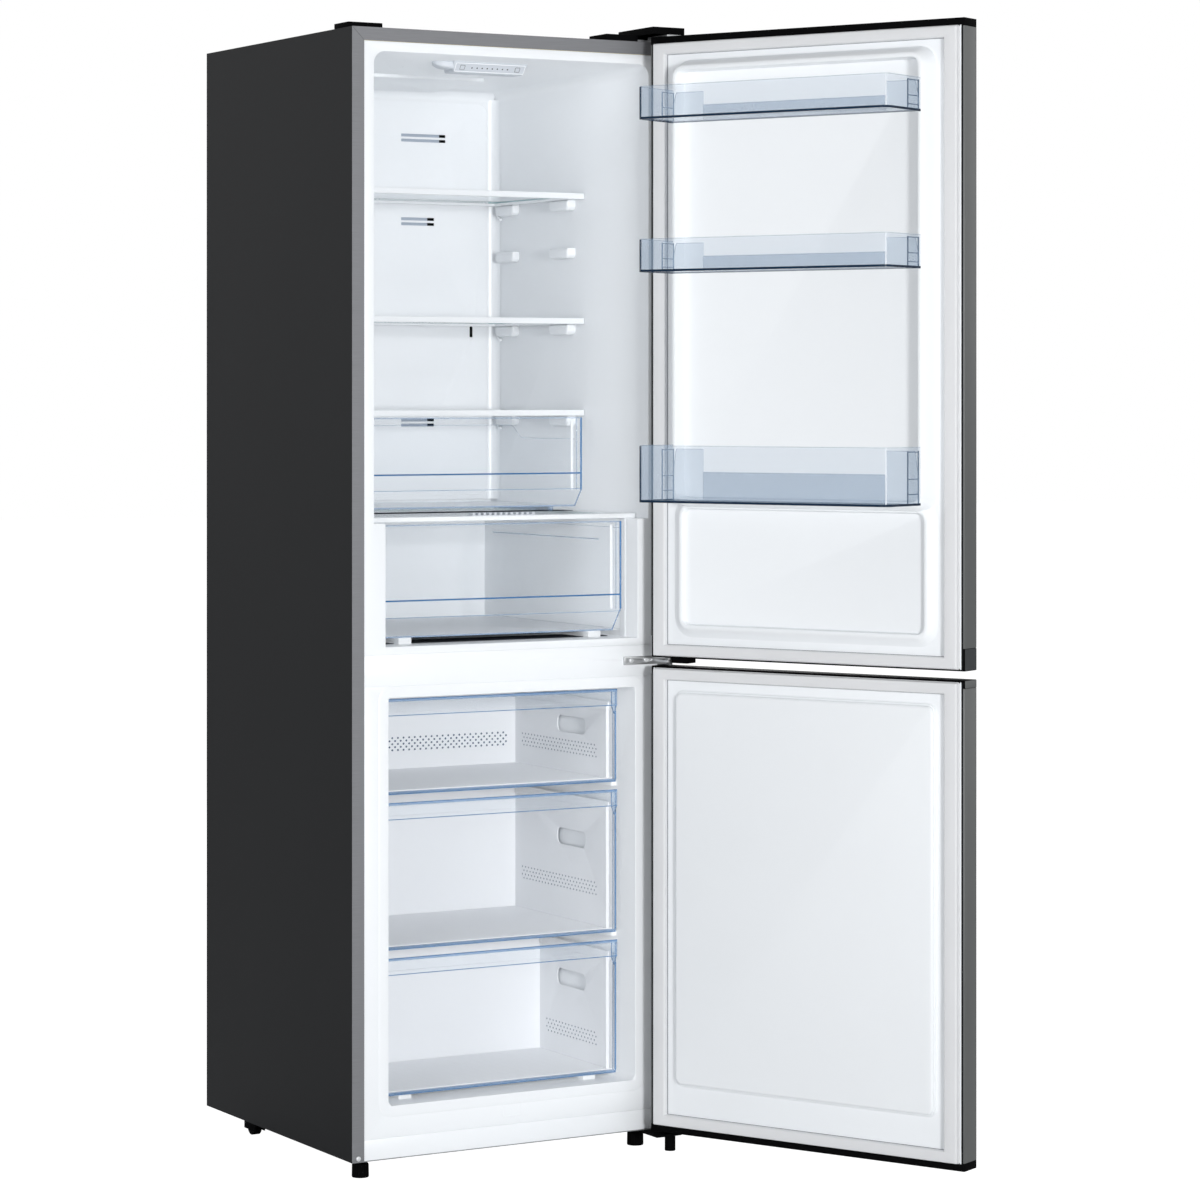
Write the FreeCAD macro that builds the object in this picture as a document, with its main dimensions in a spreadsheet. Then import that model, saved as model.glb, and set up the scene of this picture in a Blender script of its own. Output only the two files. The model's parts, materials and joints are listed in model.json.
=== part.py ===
# Fridge freezer with two right-hinged doors, shown open: the fridge over the freezer.
# X runs to the right, Y to the back and Z up. The origin is on the floor, under the middle of the
# cabinet's front flange. Door pieces are drawn closed and then swung open about the hinge axis.
import FreeCAD, Part
import os
import re

SIZES = {
    # Steel cabinet
    "case_width": 595,
    "case_depth": 568,
    "case_height": 1830,
    "case_base": 33,
    "case_sheet": 0.8,
    "back_sheet": 0.8,
    "pan_sheet": 1.5,
    "flange_width": 21.5,
    "rim_gap": 0.5,
    "plinth_height": 35,
    # Compressor niche at the lower back
    "niche_depth": 190,
    "niche_height": 222,
    "niche_insulation": 50,
    # Plastic liners and the insulation around them
    "liner_wall": 2,
    "ceiling_insulation": 38,
    "ceiling_drop": 12,
    "fridge_insulation": 39.5,
    "fridge_draft": 8,
    "fridge_back_insulation": 28,
    "fridge_corner": 20,
    "crisper_insulation": 60.5,
    "freezer_insulation": 65.5,
    "freezer_back_insulation": 63,
    "freezer_floor_rise": 83.5,
    "freezer_corner": 14,
    "mullion_lip": 12.5,
    "mullion_height": 51,
    # Freezer drawers, from the floor up
    "glide_height": 6.5,
    "glide_width": 24,
    "glide_inset": 70,
    "bottom_drawer_height": 225,
    "middle_drawer_height": 241,
    "top_drawer_height": 157,
    "drawer_gap": 13,
    "drawer_headroom": 13.5,
    "drawer_setback": 54,
    "drawer_side_gap": 4,
    "drawer_back_gap": 30,
    "bottom_back_gap": 10,
    "drawer_wall": 2.5,
    "front_overlap": 1,
    "front_panel": 4,
    "front_lip": 4,
    "front_lip_height": 28,
    "tub_drop": 22,
    "tub_corner": 12,
    "grip_length": 98,
    "grip_height": 28,
    "grip_setback": 94,
    "bottom_grip_drop": 51,
    "middle_grip_drop": 61,
    "top_grip_drop": 36,
    "grip_corner": 11,
    "ledge_height": 8,
    "ledge_width": 10,
    # Crisper drawer, its cover shelf and the chiller drawer over it
    "crisper_height": 200,
    "crisper_setback": 45,
    "crisper_side_gap": 4,
    "crisper_glide_height": 11,
    "crisper_top_gap": 5,
    "cover_setback": 37,
    "cover_thickness": 8,
    "chiller_runner": 8,
    "chiller_front_gap": 3,
    "chiller_top_gap": 3,
    "runner_width": 10,
    "runner_inset": 50,
    "runner_clearance": 0.3,
    # Glass shelves and the bosses that carry them
    "shelf_setback": 207,
    "shelf_back_gap": 24,
    "shelf_clearance": 1.5,
    "glass_thickness": 4,
    "trim_height": 10,
    "trim_depth": 15,
    "trim_cover": 1.5,
    "glass_seat": 8,
    "boss_reach": 12,
    "boss_height": 15,
    "boss_length": 60,
    "boss_inset": 37,
    # Air duct cover on the back wall
    "duct_depth": 18,
    "duct_wall": 3,
    "duct_side_gap": 4,
    "duct_end_gap": 13,
    "slot_height": 5,
    "slot_length": 89,
    "bay_slot_length": 66,
    "slot_inset": 59,
    "slot_pitch": 9,
    "slot_drop": 66,
    "bay_slot_drop": 33,
    "low_slot_drop": 16.5,
    "sensor_slot_width": 6,
    "sensor_slot_height": 19,
    "sensor_slot_margin": 43,
    # Freezer back cover, evaporator and fan
    "evaporator_space": 68,
    "cover_sheet": 2.5,
    "cover_side_gap": 3,
    "fan_radius": 48,
    "fan_gap": 5,
    "fan_height": 82,
    "blade_depth": 16,
    "blade_thickness": 2,
    "hub_radius": 14,
    "blade_root": 5,
    "motor_radius": 20,
    "motor_length": 30,
    "shaft_radius": 2,
    "running_clearance": 0.05,
    "evaporator_depth": 40,
    "evaporator_height": 200,
    "evaporator_side_gap": 36.5,
    "fin_thickness": 1.2,
    "tube_radius": 4,
    "air_slot_height": 8,
    "air_slot_pitch": 16,
    "air_slot_margin": 16,
    "coil_lift": 48,
    # Compressor
    "compressor_radius": 64,
    "compressor_height": 120,
    "compressor_dome": 22,
    "compressor_offset": 90,
    "mount_radius": 10,
    "mount_height": 14,
    "plate_thickness": 3,
    "plate_overhang": 14,
    "tray_height": 26,
    "tray_overhang": 8,
    "tray_wall": 2,
    "vent_height": 6,
    "vent_length": 70,
    "vent_pitch": 16,
    "vent_inset": 35,
    # Ceiling control panel
    "panel_width": 140,
    "panel_setback": 78,
    "panel_depth": 46,
    "panel_drop": 20,
    "button_radius": 4,
    "button_gap": 0.4,
    "button_flange": 1.6,
    "button_lip": 2,
    "button_proud": 0.8,
    "button_inset": 14,
    "button_pitch": 16,
    "button_chamber": 5,
    # Feet and rollers
    "foot_radius": 14,
    "foot_height": 16,
    "foot_inset": 37.8,
    "foot_setback": 46.5,
    "stud_radius": 4,
    "stud_reach": 12,
    "roller_radius": 15,
    "roller_width": 14,
    "roller_inset": 36,
    "roller_setback": 120,
    "roller_side_gap": 0.6,
    "axle_radius": 3,
    "cheek_sheet": 2,
    "cheek_length": 44,
    "cheek_drop": 6,
    "bracket_length": 130,
    # Hinges
    "hinge_inset": 20,
    "hinge_reach": 38,
    "hinge_sheet": 4,
    "hinge_rim": 14,
    "pin_radius": 4,
    "pin_length": 12,
    "pin_end_gap": 2,
    "shoulder_radius": 8,
    "middle_plate_width": 56,
    "middle_plate_height": 14,
    "middle_plate_inset": 32.5,
    "middle_plate_sheet": 3,
    "top_plate_length": 66,
    "top_plate_width": 92,
    "top_plate_setback": 8,
    "bottom_plate_length": 92,
    "bottom_plate_reach": 20,
    "peg_radius": 9,
    "peg_floor_gap": 3,
    "cover_wall": 2,
    "cover_height": 21,
    "cover_low_height": 11,
    "cover_low_setback": 4,
    "cover_length": 62,
    "cover_width": 119,
    "cover_step": 62,
    "cap_width": 62,
    "cap_length": 52,
    "cap_rise": 8.5,
    "cap_setback": 14,
    "screw_radius": 2,
    "screw_length": 16,
    "screw_head_radius": 4,
    "screw_head_height": 2.4,
    "screw_inset": 13,
    "screw_pitch": 29,
    "flange_screw_rise": 6.5,
    # Doors
    "door_angle": 115.6,
    "door_rise": 5,
    "door_clearance": 5,
    "door_gap": 14.5,
    "door_standoff": 10,
    "door_thickness": 40,
    "door_sheet": 0.8,
    "skin_return": 8,
    "end_cap": 13,
    "grip_cap": 36,
    "liner_margin": 4,
    "pocket_length": 190,
    "pocket_depth": 24,
    "pocket_width": 18,
    "pocket_inset": 60,
    "pocket_wall": 9,
    "gasket_side_width": 28,
    "gasket_end_width": 20.5,
    "gasket_base": 2,
    "bulb_width": 15.5,
    "gasket_clearance": 0.5,
    "pad_corner": 16,
    "pedestal_side_margin": 72.5,
    "pedestal_rise": 30,
    "pedestal_top_margin": 62,
    "pedestal_bottom_margin": 245,
    "panel_rise": 4,
    "panel_corner": 12,
    "dyke_width": 8,
    "apron_side_margin": 47.5,
    "apron_rise": 8,
    "apron_height": 212,
    "apron_bottom_margin": 47,
    "freezer_pad_rise": 10,
    "freezer_pad_side_margin": 47.5,
    "freezer_pad_low_margin": 79,
    "freezer_pad_high_margin": 37,
    # Door bins
    "bin_side_reach": 10,
    "bin_reach": 137,
    "bin_wall": 2.2,
    "bin_corner": 18,
    "bin_back_gap": 0.6,
    "bin_rear": 5,
    "small_bin_height": 54,
    "deep_bin_height": 93,
    "clip_height": 18,
    "clip_lift": 22,
    "clip_depth": 20,
    "clip_gap": 0.5,
    "lug_height": 12,
    "lug_depth": 14,
    "lug_root": 1,
    # One overrun for every cut
    "cut_overrun": 5,
}

# Heights of the shelves in the space over the crisper, and of the bins in the fridge door.
SHELF_LEVEL_SHARES = {"upper": 0.729, "middle": 0.446, "lower": 0.2385}
BIN_LEVEL_SHARES = {"upper": 0.857, "middle": 0.6165, "lower": 0.2537}
SPARE_LEVEL_SHARE = 0.62
FIN_COUNT = 10
TUBE_COUNT = 4
BLADE_COUNT = 7
BLADE_LEAN = 60
FULL_TURN = 360
# Part of a blade's step that keeps the first blade off the hub's seam.
SEAM_SHARE = 0.5
AIR_SLOT_COUNT = 2
VENT_COUNT = 9

doc = FreeCAD.newDocument("fridge_freezer")
sheet = doc.addObject("Spreadsheet::Sheet", "sizes")
for row, (word, number) in enumerate(SIZES.items(), start=1):
    sheet.set(f"A{row}", word)
    sheet.set(f"B{row}", str(number))
    sheet.setAlias(f"B{row}", word)
doc.recompute()

WORD = re.compile(r"\b[a-z]+(?:_[a-z]+)+\b")
NODES = []

# Places worked out from the driving sizes
HALF = "(case_width / 2)"
CASE_TOP = "(case_base + case_height)"
PAN_TOP = "(case_base + pan_sheet)"
INNER_HALF = "(case_width / 2 - case_sheet)"
RIM_HALF = "(case_width / 2 - flange_width - rim_gap)"
RIM_TOP = f"({CASE_TOP} - flange_width - rim_gap)"
PLINTH_TOP = "(case_base + plinth_height)"
NICHE_TOP = "(case_base + niche_height)"
NICHE_FRONT = "(case_depth - niche_depth)"
BACK_FACE = "(case_depth - back_sheet)"
FREEZER_HALF = "(case_width / 2 - freezer_insulation)"
FREEZER_FLOOR = "(case_base + freezer_floor_rise)"
FREEZER_BACK = "(case_depth - freezer_back_insulation)"
STEP_FRONT = f"({NICHE_FRONT} - niche_insulation)"
STEP_TOP = f"({NICHE_TOP} + niche_insulation)"
BOTTOM_DRAWER = f"({FREEZER_FLOOR} + glide_height)"
MIDDLE_DRAWER = f"({BOTTOM_DRAWER} + bottom_drawer_height + drawer_gap)"
TOP_DRAWER = f"({MIDDLE_DRAWER} + middle_drawer_height + drawer_gap)"
FREEZER_CEILING = f"({TOP_DRAWER} + top_drawer_height + drawer_headroom)"
MULLION_LOW = f"({FREEZER_CEILING} + mullion_lip)"
MULLION_HIGH = f"({MULLION_LOW} + mullion_height)"
FRIDGE_FLOOR = f"({MULLION_HIGH} + mullion_lip)"
CRISPER_LEDGE = f"({FRIDGE_FLOOR} + crisper_height)"
CRISPER_HALF = "(case_width / 2 - crisper_insulation)"
FRIDGE_CEILING = f"({CASE_TOP} - ceiling_insulation)"
FRIDGE_HALF = "(case_width / 2 - fridge_insulation)"
FRIDGE_BACK_HALF = f"({FRIDGE_HALF} - fridge_draft)"
FRIDGE_BACK = "(case_depth - fridge_back_insulation)"
COVER_TOP = f"({CRISPER_LEDGE} + cover_thickness)"
BOSS_HALF = f"({FRIDGE_BACK_HALF} - boss_reach)"
EVAPORATOR_FRONT = f"({FREEZER_BACK} - evaporator_space)"
EVAPORATOR_HALF = f"({FREEZER_HALF} - cover_side_gap - cover_sheet - evaporator_side_gap)"
FAN_AXIS = f"({FREEZER_CEILING} - fan_height)"
FAN_FACE = f"({FREEZER_BACK} - motor_length)"
COMPRESSOR_Y = f"({NICHE_FRONT} + pan_sheet + niche_depth / 2)"
PLATE_LOW = f"({PAN_TOP} + mount_height)"
POT_TOP = f"({PLATE_LOW} + plate_thickness + compressor_height + compressor_dome)"
PANEL_LOW = f"({FRIDGE_CEILING} - panel_drop)"
HINGE_X = "(case_width / 2 - hinge_inset)"
HINGE_Y = "(-hinge_reach)"
MIDDLE = f"({MULLION_LOW} + mullion_height / 2)"
DOOR_FACE = "(-door_standoff)"
DOOR_BACK_OF_LINER = "(-door_standoff - liner_wall)"
DOOR_FRONT = "(-door_standoff - door_thickness)"
PEDESTAL_HALF = "(case_width / 2 - pedestal_side_margin)"
PANEL_HALF = f"({PEDESTAL_HALF} - dyke_width)"
APRON_HALF = "(case_width / 2 - apron_side_margin)"
FREEZER_PAD_HALF = "(case_width / 2 - freezer_pad_side_margin)"
BIN_HALF = f"({PEDESTAL_HALF} + bin_side_reach)"
FRIDGE_DOOR_LOW = f"({MIDDLE} + door_gap / 2)"
FRIDGE_DOOR_HIGH = f"({CASE_TOP} + door_rise)"
FREEZER_DOOR_LOW = "(case_base + door_clearance)"
FREEZER_DOOR_HIGH = f"({MIDDLE} - door_gap / 2)"


def rule(text):
    """The text with each size's word turned into a reference to its cell."""
    return WORD.sub(lambda found: f"sizes.{found.group()}", text)


def size(text):
    """The number that a rule gives now."""
    return float(sheet.evalExpression(text))


def bind(item, prop, text):
    item.setExpression(prop, rule(text))


def both(low, high):
    """A span on the right and its mirror image on the left."""
    return (low, high), (f"-({high})", f"-({low})")


def wide(half):
    return f"-({half})", half


def box(name, x, y, z):
    """A block given by its spans along the three axes."""
    solid = doc.addObject("Part::Box", name)
    for prop, axis, (low, high) in zip(("Length", "Width", "Height"), "xyz", (x, y, z)):
        bind(solid, prop, f"({high}) - ({low})")
        bind(solid, f"Placement.Base.{axis}", low)
    return solid


TURNS = {
    "x": FreeCAD.Rotation(FreeCAD.Vector(0, 1, 0), 90),
    "y": FreeCAD.Rotation(FreeCAD.Vector(1, 0, 0), -90),
    "z": FreeCAD.Rotation(),
}


def rod(name, axis, radius, x, y, z, far_radius=None):
    """A round bar or cone along an axis; the coordinate on that axis is a span."""
    kind = "Part::Cone" if far_radius else "Part::Cylinder"
    solid = doc.addObject(kind, name)
    solid.Placement = FreeCAD.Placement(FreeCAD.Vector(), TURNS[axis])
    places = dict(zip("xyz", (x, y, z)))
    low, high = places[axis]
    places[axis] = low
    if far_radius:
        bind(solid, "Radius1", radius)
        bind(solid, "Radius2", far_radius)
    else:
        bind(solid, "Radius", radius)
    bind(solid, "Height", f"({high}) - ({low})")
    for letter, place in places.items():
        bind(solid, f"Placement.Base.{letter}", place)
    return solid


def taper(name, y, front, back):
    """A block along Y whose X and Z spans change from the front to the back."""
    solid = doc.addObject("Part::Wedge", name)
    bind(solid, "Ymin", y[0])
    bind(solid, "Ymax", y[1])
    for mark, (x, z) in (("", front), ("2", back)):
        bind(solid, f"X{mark}min", x[0])
        bind(solid, f"X{mark}max", x[1])
        bind(solid, f"Z{mark}min", z[0])
        bind(solid, f"Z{mark}max", z[1])
    return solid


def fuse(name, *items):
    solid = doc.addObject("Part::MultiFuse", name)
    solid.Shapes = list(items)
    solid.Refine = True
    return solid


def group(name, *items):
    """Separate solids kept together under one name."""
    bundle = doc.addObject("Part::Compound", name)
    bundle.Links = list(items)
    return bundle


def cut(name, base, *tools):
    solid = doc.addObject("Part::Cut", name)
    solid.Base = base
    solid.Tool = tools[0] if len(tools) == 1 else fuse(f"{name}_tools", *tools)
    solid.Refine = True
    return solid


def common(name, first, second):
    solid = doc.addObject("Part::Common", name)
    solid.Base = first
    solid.Tool = second
    return solid


def along(axis, *ends):
    """A picker of straight edges along an axis; ends name the other axes' low or high side."""
    index = "xyz".index(axis)

    def pick(edge, bounds):
        if len(edge.Vertexes) < 2:
            return False
        first, last = (vertex.Point for vertex in edge.Vertexes)
        run = [abs(last[i] - first[i]) for i in range(3)]
        if run[index] < max(run[i] for i in range(3) if i != index):
            return False
        middle = (first + last) / 2
        for side in ends:
            other, end = "xyz".index(side[0]), side[1]
            low, high = (getattr(bounds, f"{side[0].upper()}{word}") for word in ("Min", "Max"))
            if (middle[other] > (low + high) / 2) != (end == "+"):
                return False
        return True

    return pick


def rounded(name, base, radius, *pickers):
    """The base with the picked edges rounded."""
    doc.recompute()
    solid = doc.addObject("Part::Fillet", name)
    solid.Base = base
    bounds = base.Shape.BoundBox
    solid.Edges = [
        (number, size(radius), size(radius))
        for number, edge in enumerate(base.Shape.Edges, start=1)
        if any(pick(edge, bounds) for pick in pickers)
    ]
    return solid


def node(name, item):
    """Marks an object as a finished sub-part."""
    item.Label = name
    NODES.append(item)
    return item


def swing(item):
    """Opens a door piece: a turn about the upright hinge axis."""
    item.Placement = FreeCAD.Placement(FreeCAD.Vector(), FreeCAD.Rotation(FreeCAD.Vector(0, 0, 1), 1))
    bind(item, "Placement.Rotation.Angle", "door_angle")
    cosine, sine = "cos(door_angle)", "sin(door_angle)"
    bind(item, "Placement.Base.x", f"{HINGE_X} * (1 - {cosine}) + {HINGE_Y} * {sine}")
    bind(item, "Placement.Base.y", f"{HINGE_Y} * (1 - {cosine}) - {HINGE_X} * {sine}")
    return item


def make_screws():
    """Hinge and flange screws, with their shanks also returned as the tools that cut their holes."""
    heads, shanks = [], []

    def screw(name, axis, x, y, z, sign):
        """One screw from its seat on an axis; the head stands out on the side of the sign."""
        places = dict(zip("xyz", (x, y, z)))
        seat = places[axis]
        out, into = f"({seat}) + screw_head_height", f"({seat}) - screw_length"
        head, shank = (seat, out), (into, seat)
        if sign < 0:
            out, into = f"({seat}) - screw_head_height", f"({seat}) + screw_length"
            head, shank = (out, seat), (seat, into)
        at_head = [head if letter == axis else places[letter] for letter in "xyz"]
        at_shank = [shank if letter == axis else places[letter] for letter in "xyz"]
        shanks.append(rod(f"{name}_shank", axis, "screw_radius", *at_shank))
        heads.append(fuse(name, rod(f"{name}_head", axis, "screw_head_radius", *at_head), shanks[-1]))

    inner = f"{HALF} - middle_plate_inset - middle_plate_width + screw_inset"
    for number, place in enumerate((inner, f"{inner} + screw_pitch")):
        screw(f"middle_screw_{number}", "y", place, "-middle_plate_sheet", MIDDLE, -1)
    top_y = "top_plate_setback + top_plate_length / 2"
    top_x = f"{HINGE_X} + hinge_rim - top_plate_width + screw_inset"
    for number, place in enumerate((top_x, f"{top_x} + screw_pitch")):
        screw(f"top_screw_{number}", "z", place, top_y, f"{CASE_TOP} + hinge_sheet", 1)
    bottom_x = f"{HINGE_X} + hinge_rim - screw_inset"
    for number, place in enumerate(("screw_inset", "screw_inset + screw_pitch")):
        screw(f"bottom_screw_{number}", "z", bottom_x, f"foot_setback + {place}",
              "case_base - hinge_sheet", -1)
    screw("flange_screw", "y", f"-{HALF} + flange_width / 2", "0", "case_base + flange_screw_rise", -1)
    node("hinge_screws", group("hinge_screws", *heads))
    return shanks


def make_liners(shanks):
    """Fridge and freezer liners, the cover between them, and the foam around them."""
    past = "case_depth + cut_overrun"
    # Fridge: a drafted upper space over a straight crisper space
    upper = taper("fridge_upper", ("-cut_overrun", FRIDGE_BACK),
                  (wide(FRIDGE_HALF), (CRISPER_LEDGE, FRIDGE_CEILING)),
                  (wide(FRIDGE_BACK_HALF), (CRISPER_LEDGE, f"{FRIDGE_CEILING} - ceiling_drop")))
    upper_round = rounded("fridge_upper_round", upper, "fridge_corner", along("y", "z+"))
    lower = box("fridge_lower", wide(CRISPER_HALF), ("-cut_overrun", FRIDGE_BACK),
                (FRIDGE_FLOOR, CRISPER_LEDGE))
    hull = taper("fridge_hull", ("liner_wall", f"{FRIDGE_BACK} + liner_wall"),
                 (wide(f"({FRIDGE_HALF} + liner_wall)"),
                  (f"{CRISPER_LEDGE} - liner_wall", f"{FRIDGE_CEILING} + liner_wall")),
                 (wide(f"({FRIDGE_BACK_HALF} + liner_wall)"),
                  (f"{CRISPER_LEDGE} - liner_wall", f"{FRIDGE_CEILING} - ceiling_drop + liner_wall")))
    hull_round = rounded("fridge_hull_round", hull, "fridge_corner", along("y", "z+"))
    hull_low = box("fridge_hull_low", wide(f"({CRISPER_HALF} + liner_wall)"),
                   ("liner_wall", f"{FRIDGE_BACK} + liner_wall"),
                   (f"{FRIDGE_FLOOR} - liner_wall", CRISPER_LEDGE))
    rim = box("fridge_rim", wide(RIM_HALF), ("0", "liner_wall"), (MULLION_HIGH, RIM_TOP))
    bosses = []
    levels = [shelf_top(share) for share in SHELF_LEVEL_SHARES.values()] + [shelf_top(SPARE_LEVEL_SHARE)]
    for number, level in enumerate(levels):
        under = f"({level} - trim_height)"
        front = "shelf_setback + boss_inset"
        rear = f"{FRIDGE_BACK} - shelf_back_gap - trim_depth - boss_length"
        for side, span in zip("rl", both(BOSS_HALF, FRIDGE_HALF)):
            for end, start in (("front", front), ("rear", rear)):
                bosses.append(box(f"boss_{number}_{side}_{end}", span, (start, f"{start} + boss_length"),
                                  (f"{under} - boss_height", under)))
    glide = f"{CRISPER_HALF} - glide_inset"
    for side, span in zip("rl", both(glide, f"{glide} + glide_width")):
        bosses.append(box(f"crisper_glide_{side}", span, ("crisper_setback", FRIDGE_BACK),
                          (FRIDGE_FLOOR, f"{FRIDGE_FLOOR} + crisper_glide_height")))
    space = cut("fridge_space", fuse("fridge_inside", upper_round, lower), *bosses)
    node("fridge_liner", cut("fridge_liner", fuse("fridge_shell", hull_round, hull_low, rim), space))

    # Freezer: a deep upper space and a shallower one in front of the compressor step
    deep = box("freezer_deep", wide(FREEZER_HALF), ("-cut_overrun", FREEZER_BACK),
               (STEP_TOP, FREEZER_CEILING))
    deep_round = rounded("freezer_deep_round", deep, "freezer_corner", along("y", "z+"))
    shallow = box("freezer_shallow", wide(FREEZER_HALF), ("-cut_overrun", STEP_FRONT),
                  (FREEZER_FLOOR, STEP_TOP))
    shallow_round = rounded("freezer_shallow_round", shallow, "freezer_corner", along("y", "z-"))
    hull_deep = box("freezer_hull_deep", wide(f"({FREEZER_HALF} + liner_wall)"),
                    ("liner_wall", f"{FREEZER_BACK} + liner_wall"),
                    (f"{STEP_TOP} - liner_wall", f"{FREEZER_CEILING} + liner_wall"))
    hull_shallow = box("freezer_hull_shallow", wide(f"({FREEZER_HALF} + liner_wall)"),
                       ("liner_wall", f"{STEP_FRONT} + liner_wall"),
                       (f"{FREEZER_FLOOR} - liner_wall", STEP_TOP))
    freezer_rim = box("freezer_rim", wide(RIM_HALF), ("0", "liner_wall"), (PLINTH_TOP, MULLION_LOW))
    ledges = []
    ledge_run = ("drawer_setback + front_lip + front_panel", f"{EVAPORATOR_FRONT} - drawer_back_gap")
    for side, span in zip("rl", both(f"{FREEZER_HALF} - ledge_width", FREEZER_HALF)):
        for level, floor in (("middle", MIDDLE_DRAWER), ("top", TOP_DRAWER)):
            ledges.append(box(f"ledge_{level}_{side}", span, ledge_run,
                              (f"{floor} - ledge_height", floor)))
    glide = f"{FREEZER_HALF} - glide_inset"
    for side, span in zip("rl", both(glide, f"{glide} + glide_width")):
        ledges.append(box(f"freezer_glide_{side}", span, ("drawer_setback", STEP_FRONT),
                          (FREEZER_FLOOR, BOTTOM_DRAWER)))
    freezer_space = cut("freezer_space", fuse("freezer_inside", deep_round, shallow_round), *ledges)
    shell = fuse("freezer_shell", hull_deep, hull_shallow, freezer_rim)
    node("freezer_liner", cut("freezer_liner", shell, freezer_space))

    plate = box("mullion_plate", wide(RIM_HALF), ("0", "liner_wall"), (MULLION_LOW, MULLION_HIGH))
    node("mullion_cover", cut("mullion_cover", plate, *shanks))
    node("front_plinth", box("front_plinth", wide(RIM_HALF), ("0", "liner_wall"), (PAN_TOP, PLINTH_TOP)))

    block = box("foam_block", wide(INNER_HALF), ("liner_wall", BACK_FACE),
                (PAN_TOP, f"{CASE_TOP} - case_sheet"))
    niche = box("foam_niche", wide(HALF), (NICHE_FRONT, past), ("case_base - cut_overrun", NICHE_TOP))
    studs = [rod(f"foam_stud_{side}", "z", "stud_radius + running_clearance", place, "foot_setback",
                 ("case_base", "case_base + pan_sheet + stud_reach"))
             for side, place in (("r", f"{HALF} - foot_inset"), ("l", f"-({HALF} - foot_inset)"))]
    node("cabinet_foam", cut("cabinet_foam", block, hull_round, hull_low, hull_deep, hull_shallow,
                             niche, *studs, *shanks))
    return upper


def shelf_top(share):
    return f"({CRISPER_LEDGE} + {share} * ({FRIDGE_CEILING} - {CRISPER_LEDGE}))"


def make_case(shanks):
    """Steel case, back sheet and base pan."""
    block = box("case_block", wide(HALF), ("0", "case_depth"), ("case_base", CASE_TOP))
    inside = box("case_inside", wide(INNER_HALF), ("case_sheet", "case_depth + cut_overrun"),
                 ("case_base - cut_overrun", f"{CASE_TOP} - case_sheet"))
    mouth = box("case_mouth", wide(f"({HALF} - flange_width)"), ("-cut_overrun", "case_sheet + cut_overrun"),
                ("case_base - cut_overrun", f"{CASE_TOP} - flange_width"))
    node("outer_case", cut("outer_case", block, inside, mouth, *shanks))
    node("back_panel", box("back_panel", wide(INNER_HALF), (BACK_FACE, "case_depth"),
                           (NICHE_TOP, f"{CASE_TOP} - case_sheet")))

    pan = box("pan", wide(INNER_HALF), ("case_sheet", "case_depth"), ("case_base", PAN_TOP))
    wall = box("niche_wall", wide(INNER_HALF), (NICHE_FRONT, f"{NICHE_FRONT} + pan_sheet"),
               (PAN_TOP, NICHE_TOP))
    roof = box("niche_roof", wide(INNER_HALF), (NICHE_FRONT, BACK_FACE),
               (f"{NICHE_TOP} - pan_sheet", NICHE_TOP))
    holes = [rod(f"pan_hole_{side}", "z", "stud_radius + running_clearance", place, "foot_setback",
                 ("case_base - cut_overrun", f"{PAN_TOP} + cut_overrun"))
             for side, place in (("r", f"{HALF} - foot_inset"), ("l", f"-({HALF} - foot_inset)"))]
    node("base_panel", cut("base_panel", fuse("folded_pan", pan, wall, roof), *holes, *shanks))

    plate = box("niche_plate", wide(INNER_HALF), (BACK_FACE, "case_depth"), (PAN_TOP, NICHE_TOP))
    vents = []
    through = (f"{BACK_FACE} - cut_overrun", "case_depth + cut_overrun")
    for number in range(VENT_COUNT):
        low = f"{PAN_TOP} + {number + 1} * vent_pitch"
        for side, span in zip("rl", both("vent_inset", "vent_inset + vent_length")):
            vents.append(box(f"vent_{number}_{side}", span, through, (low, f"{low} + vent_height")))
    node("compressor_cover", cut("compressor_cover", plate, *vents))


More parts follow.
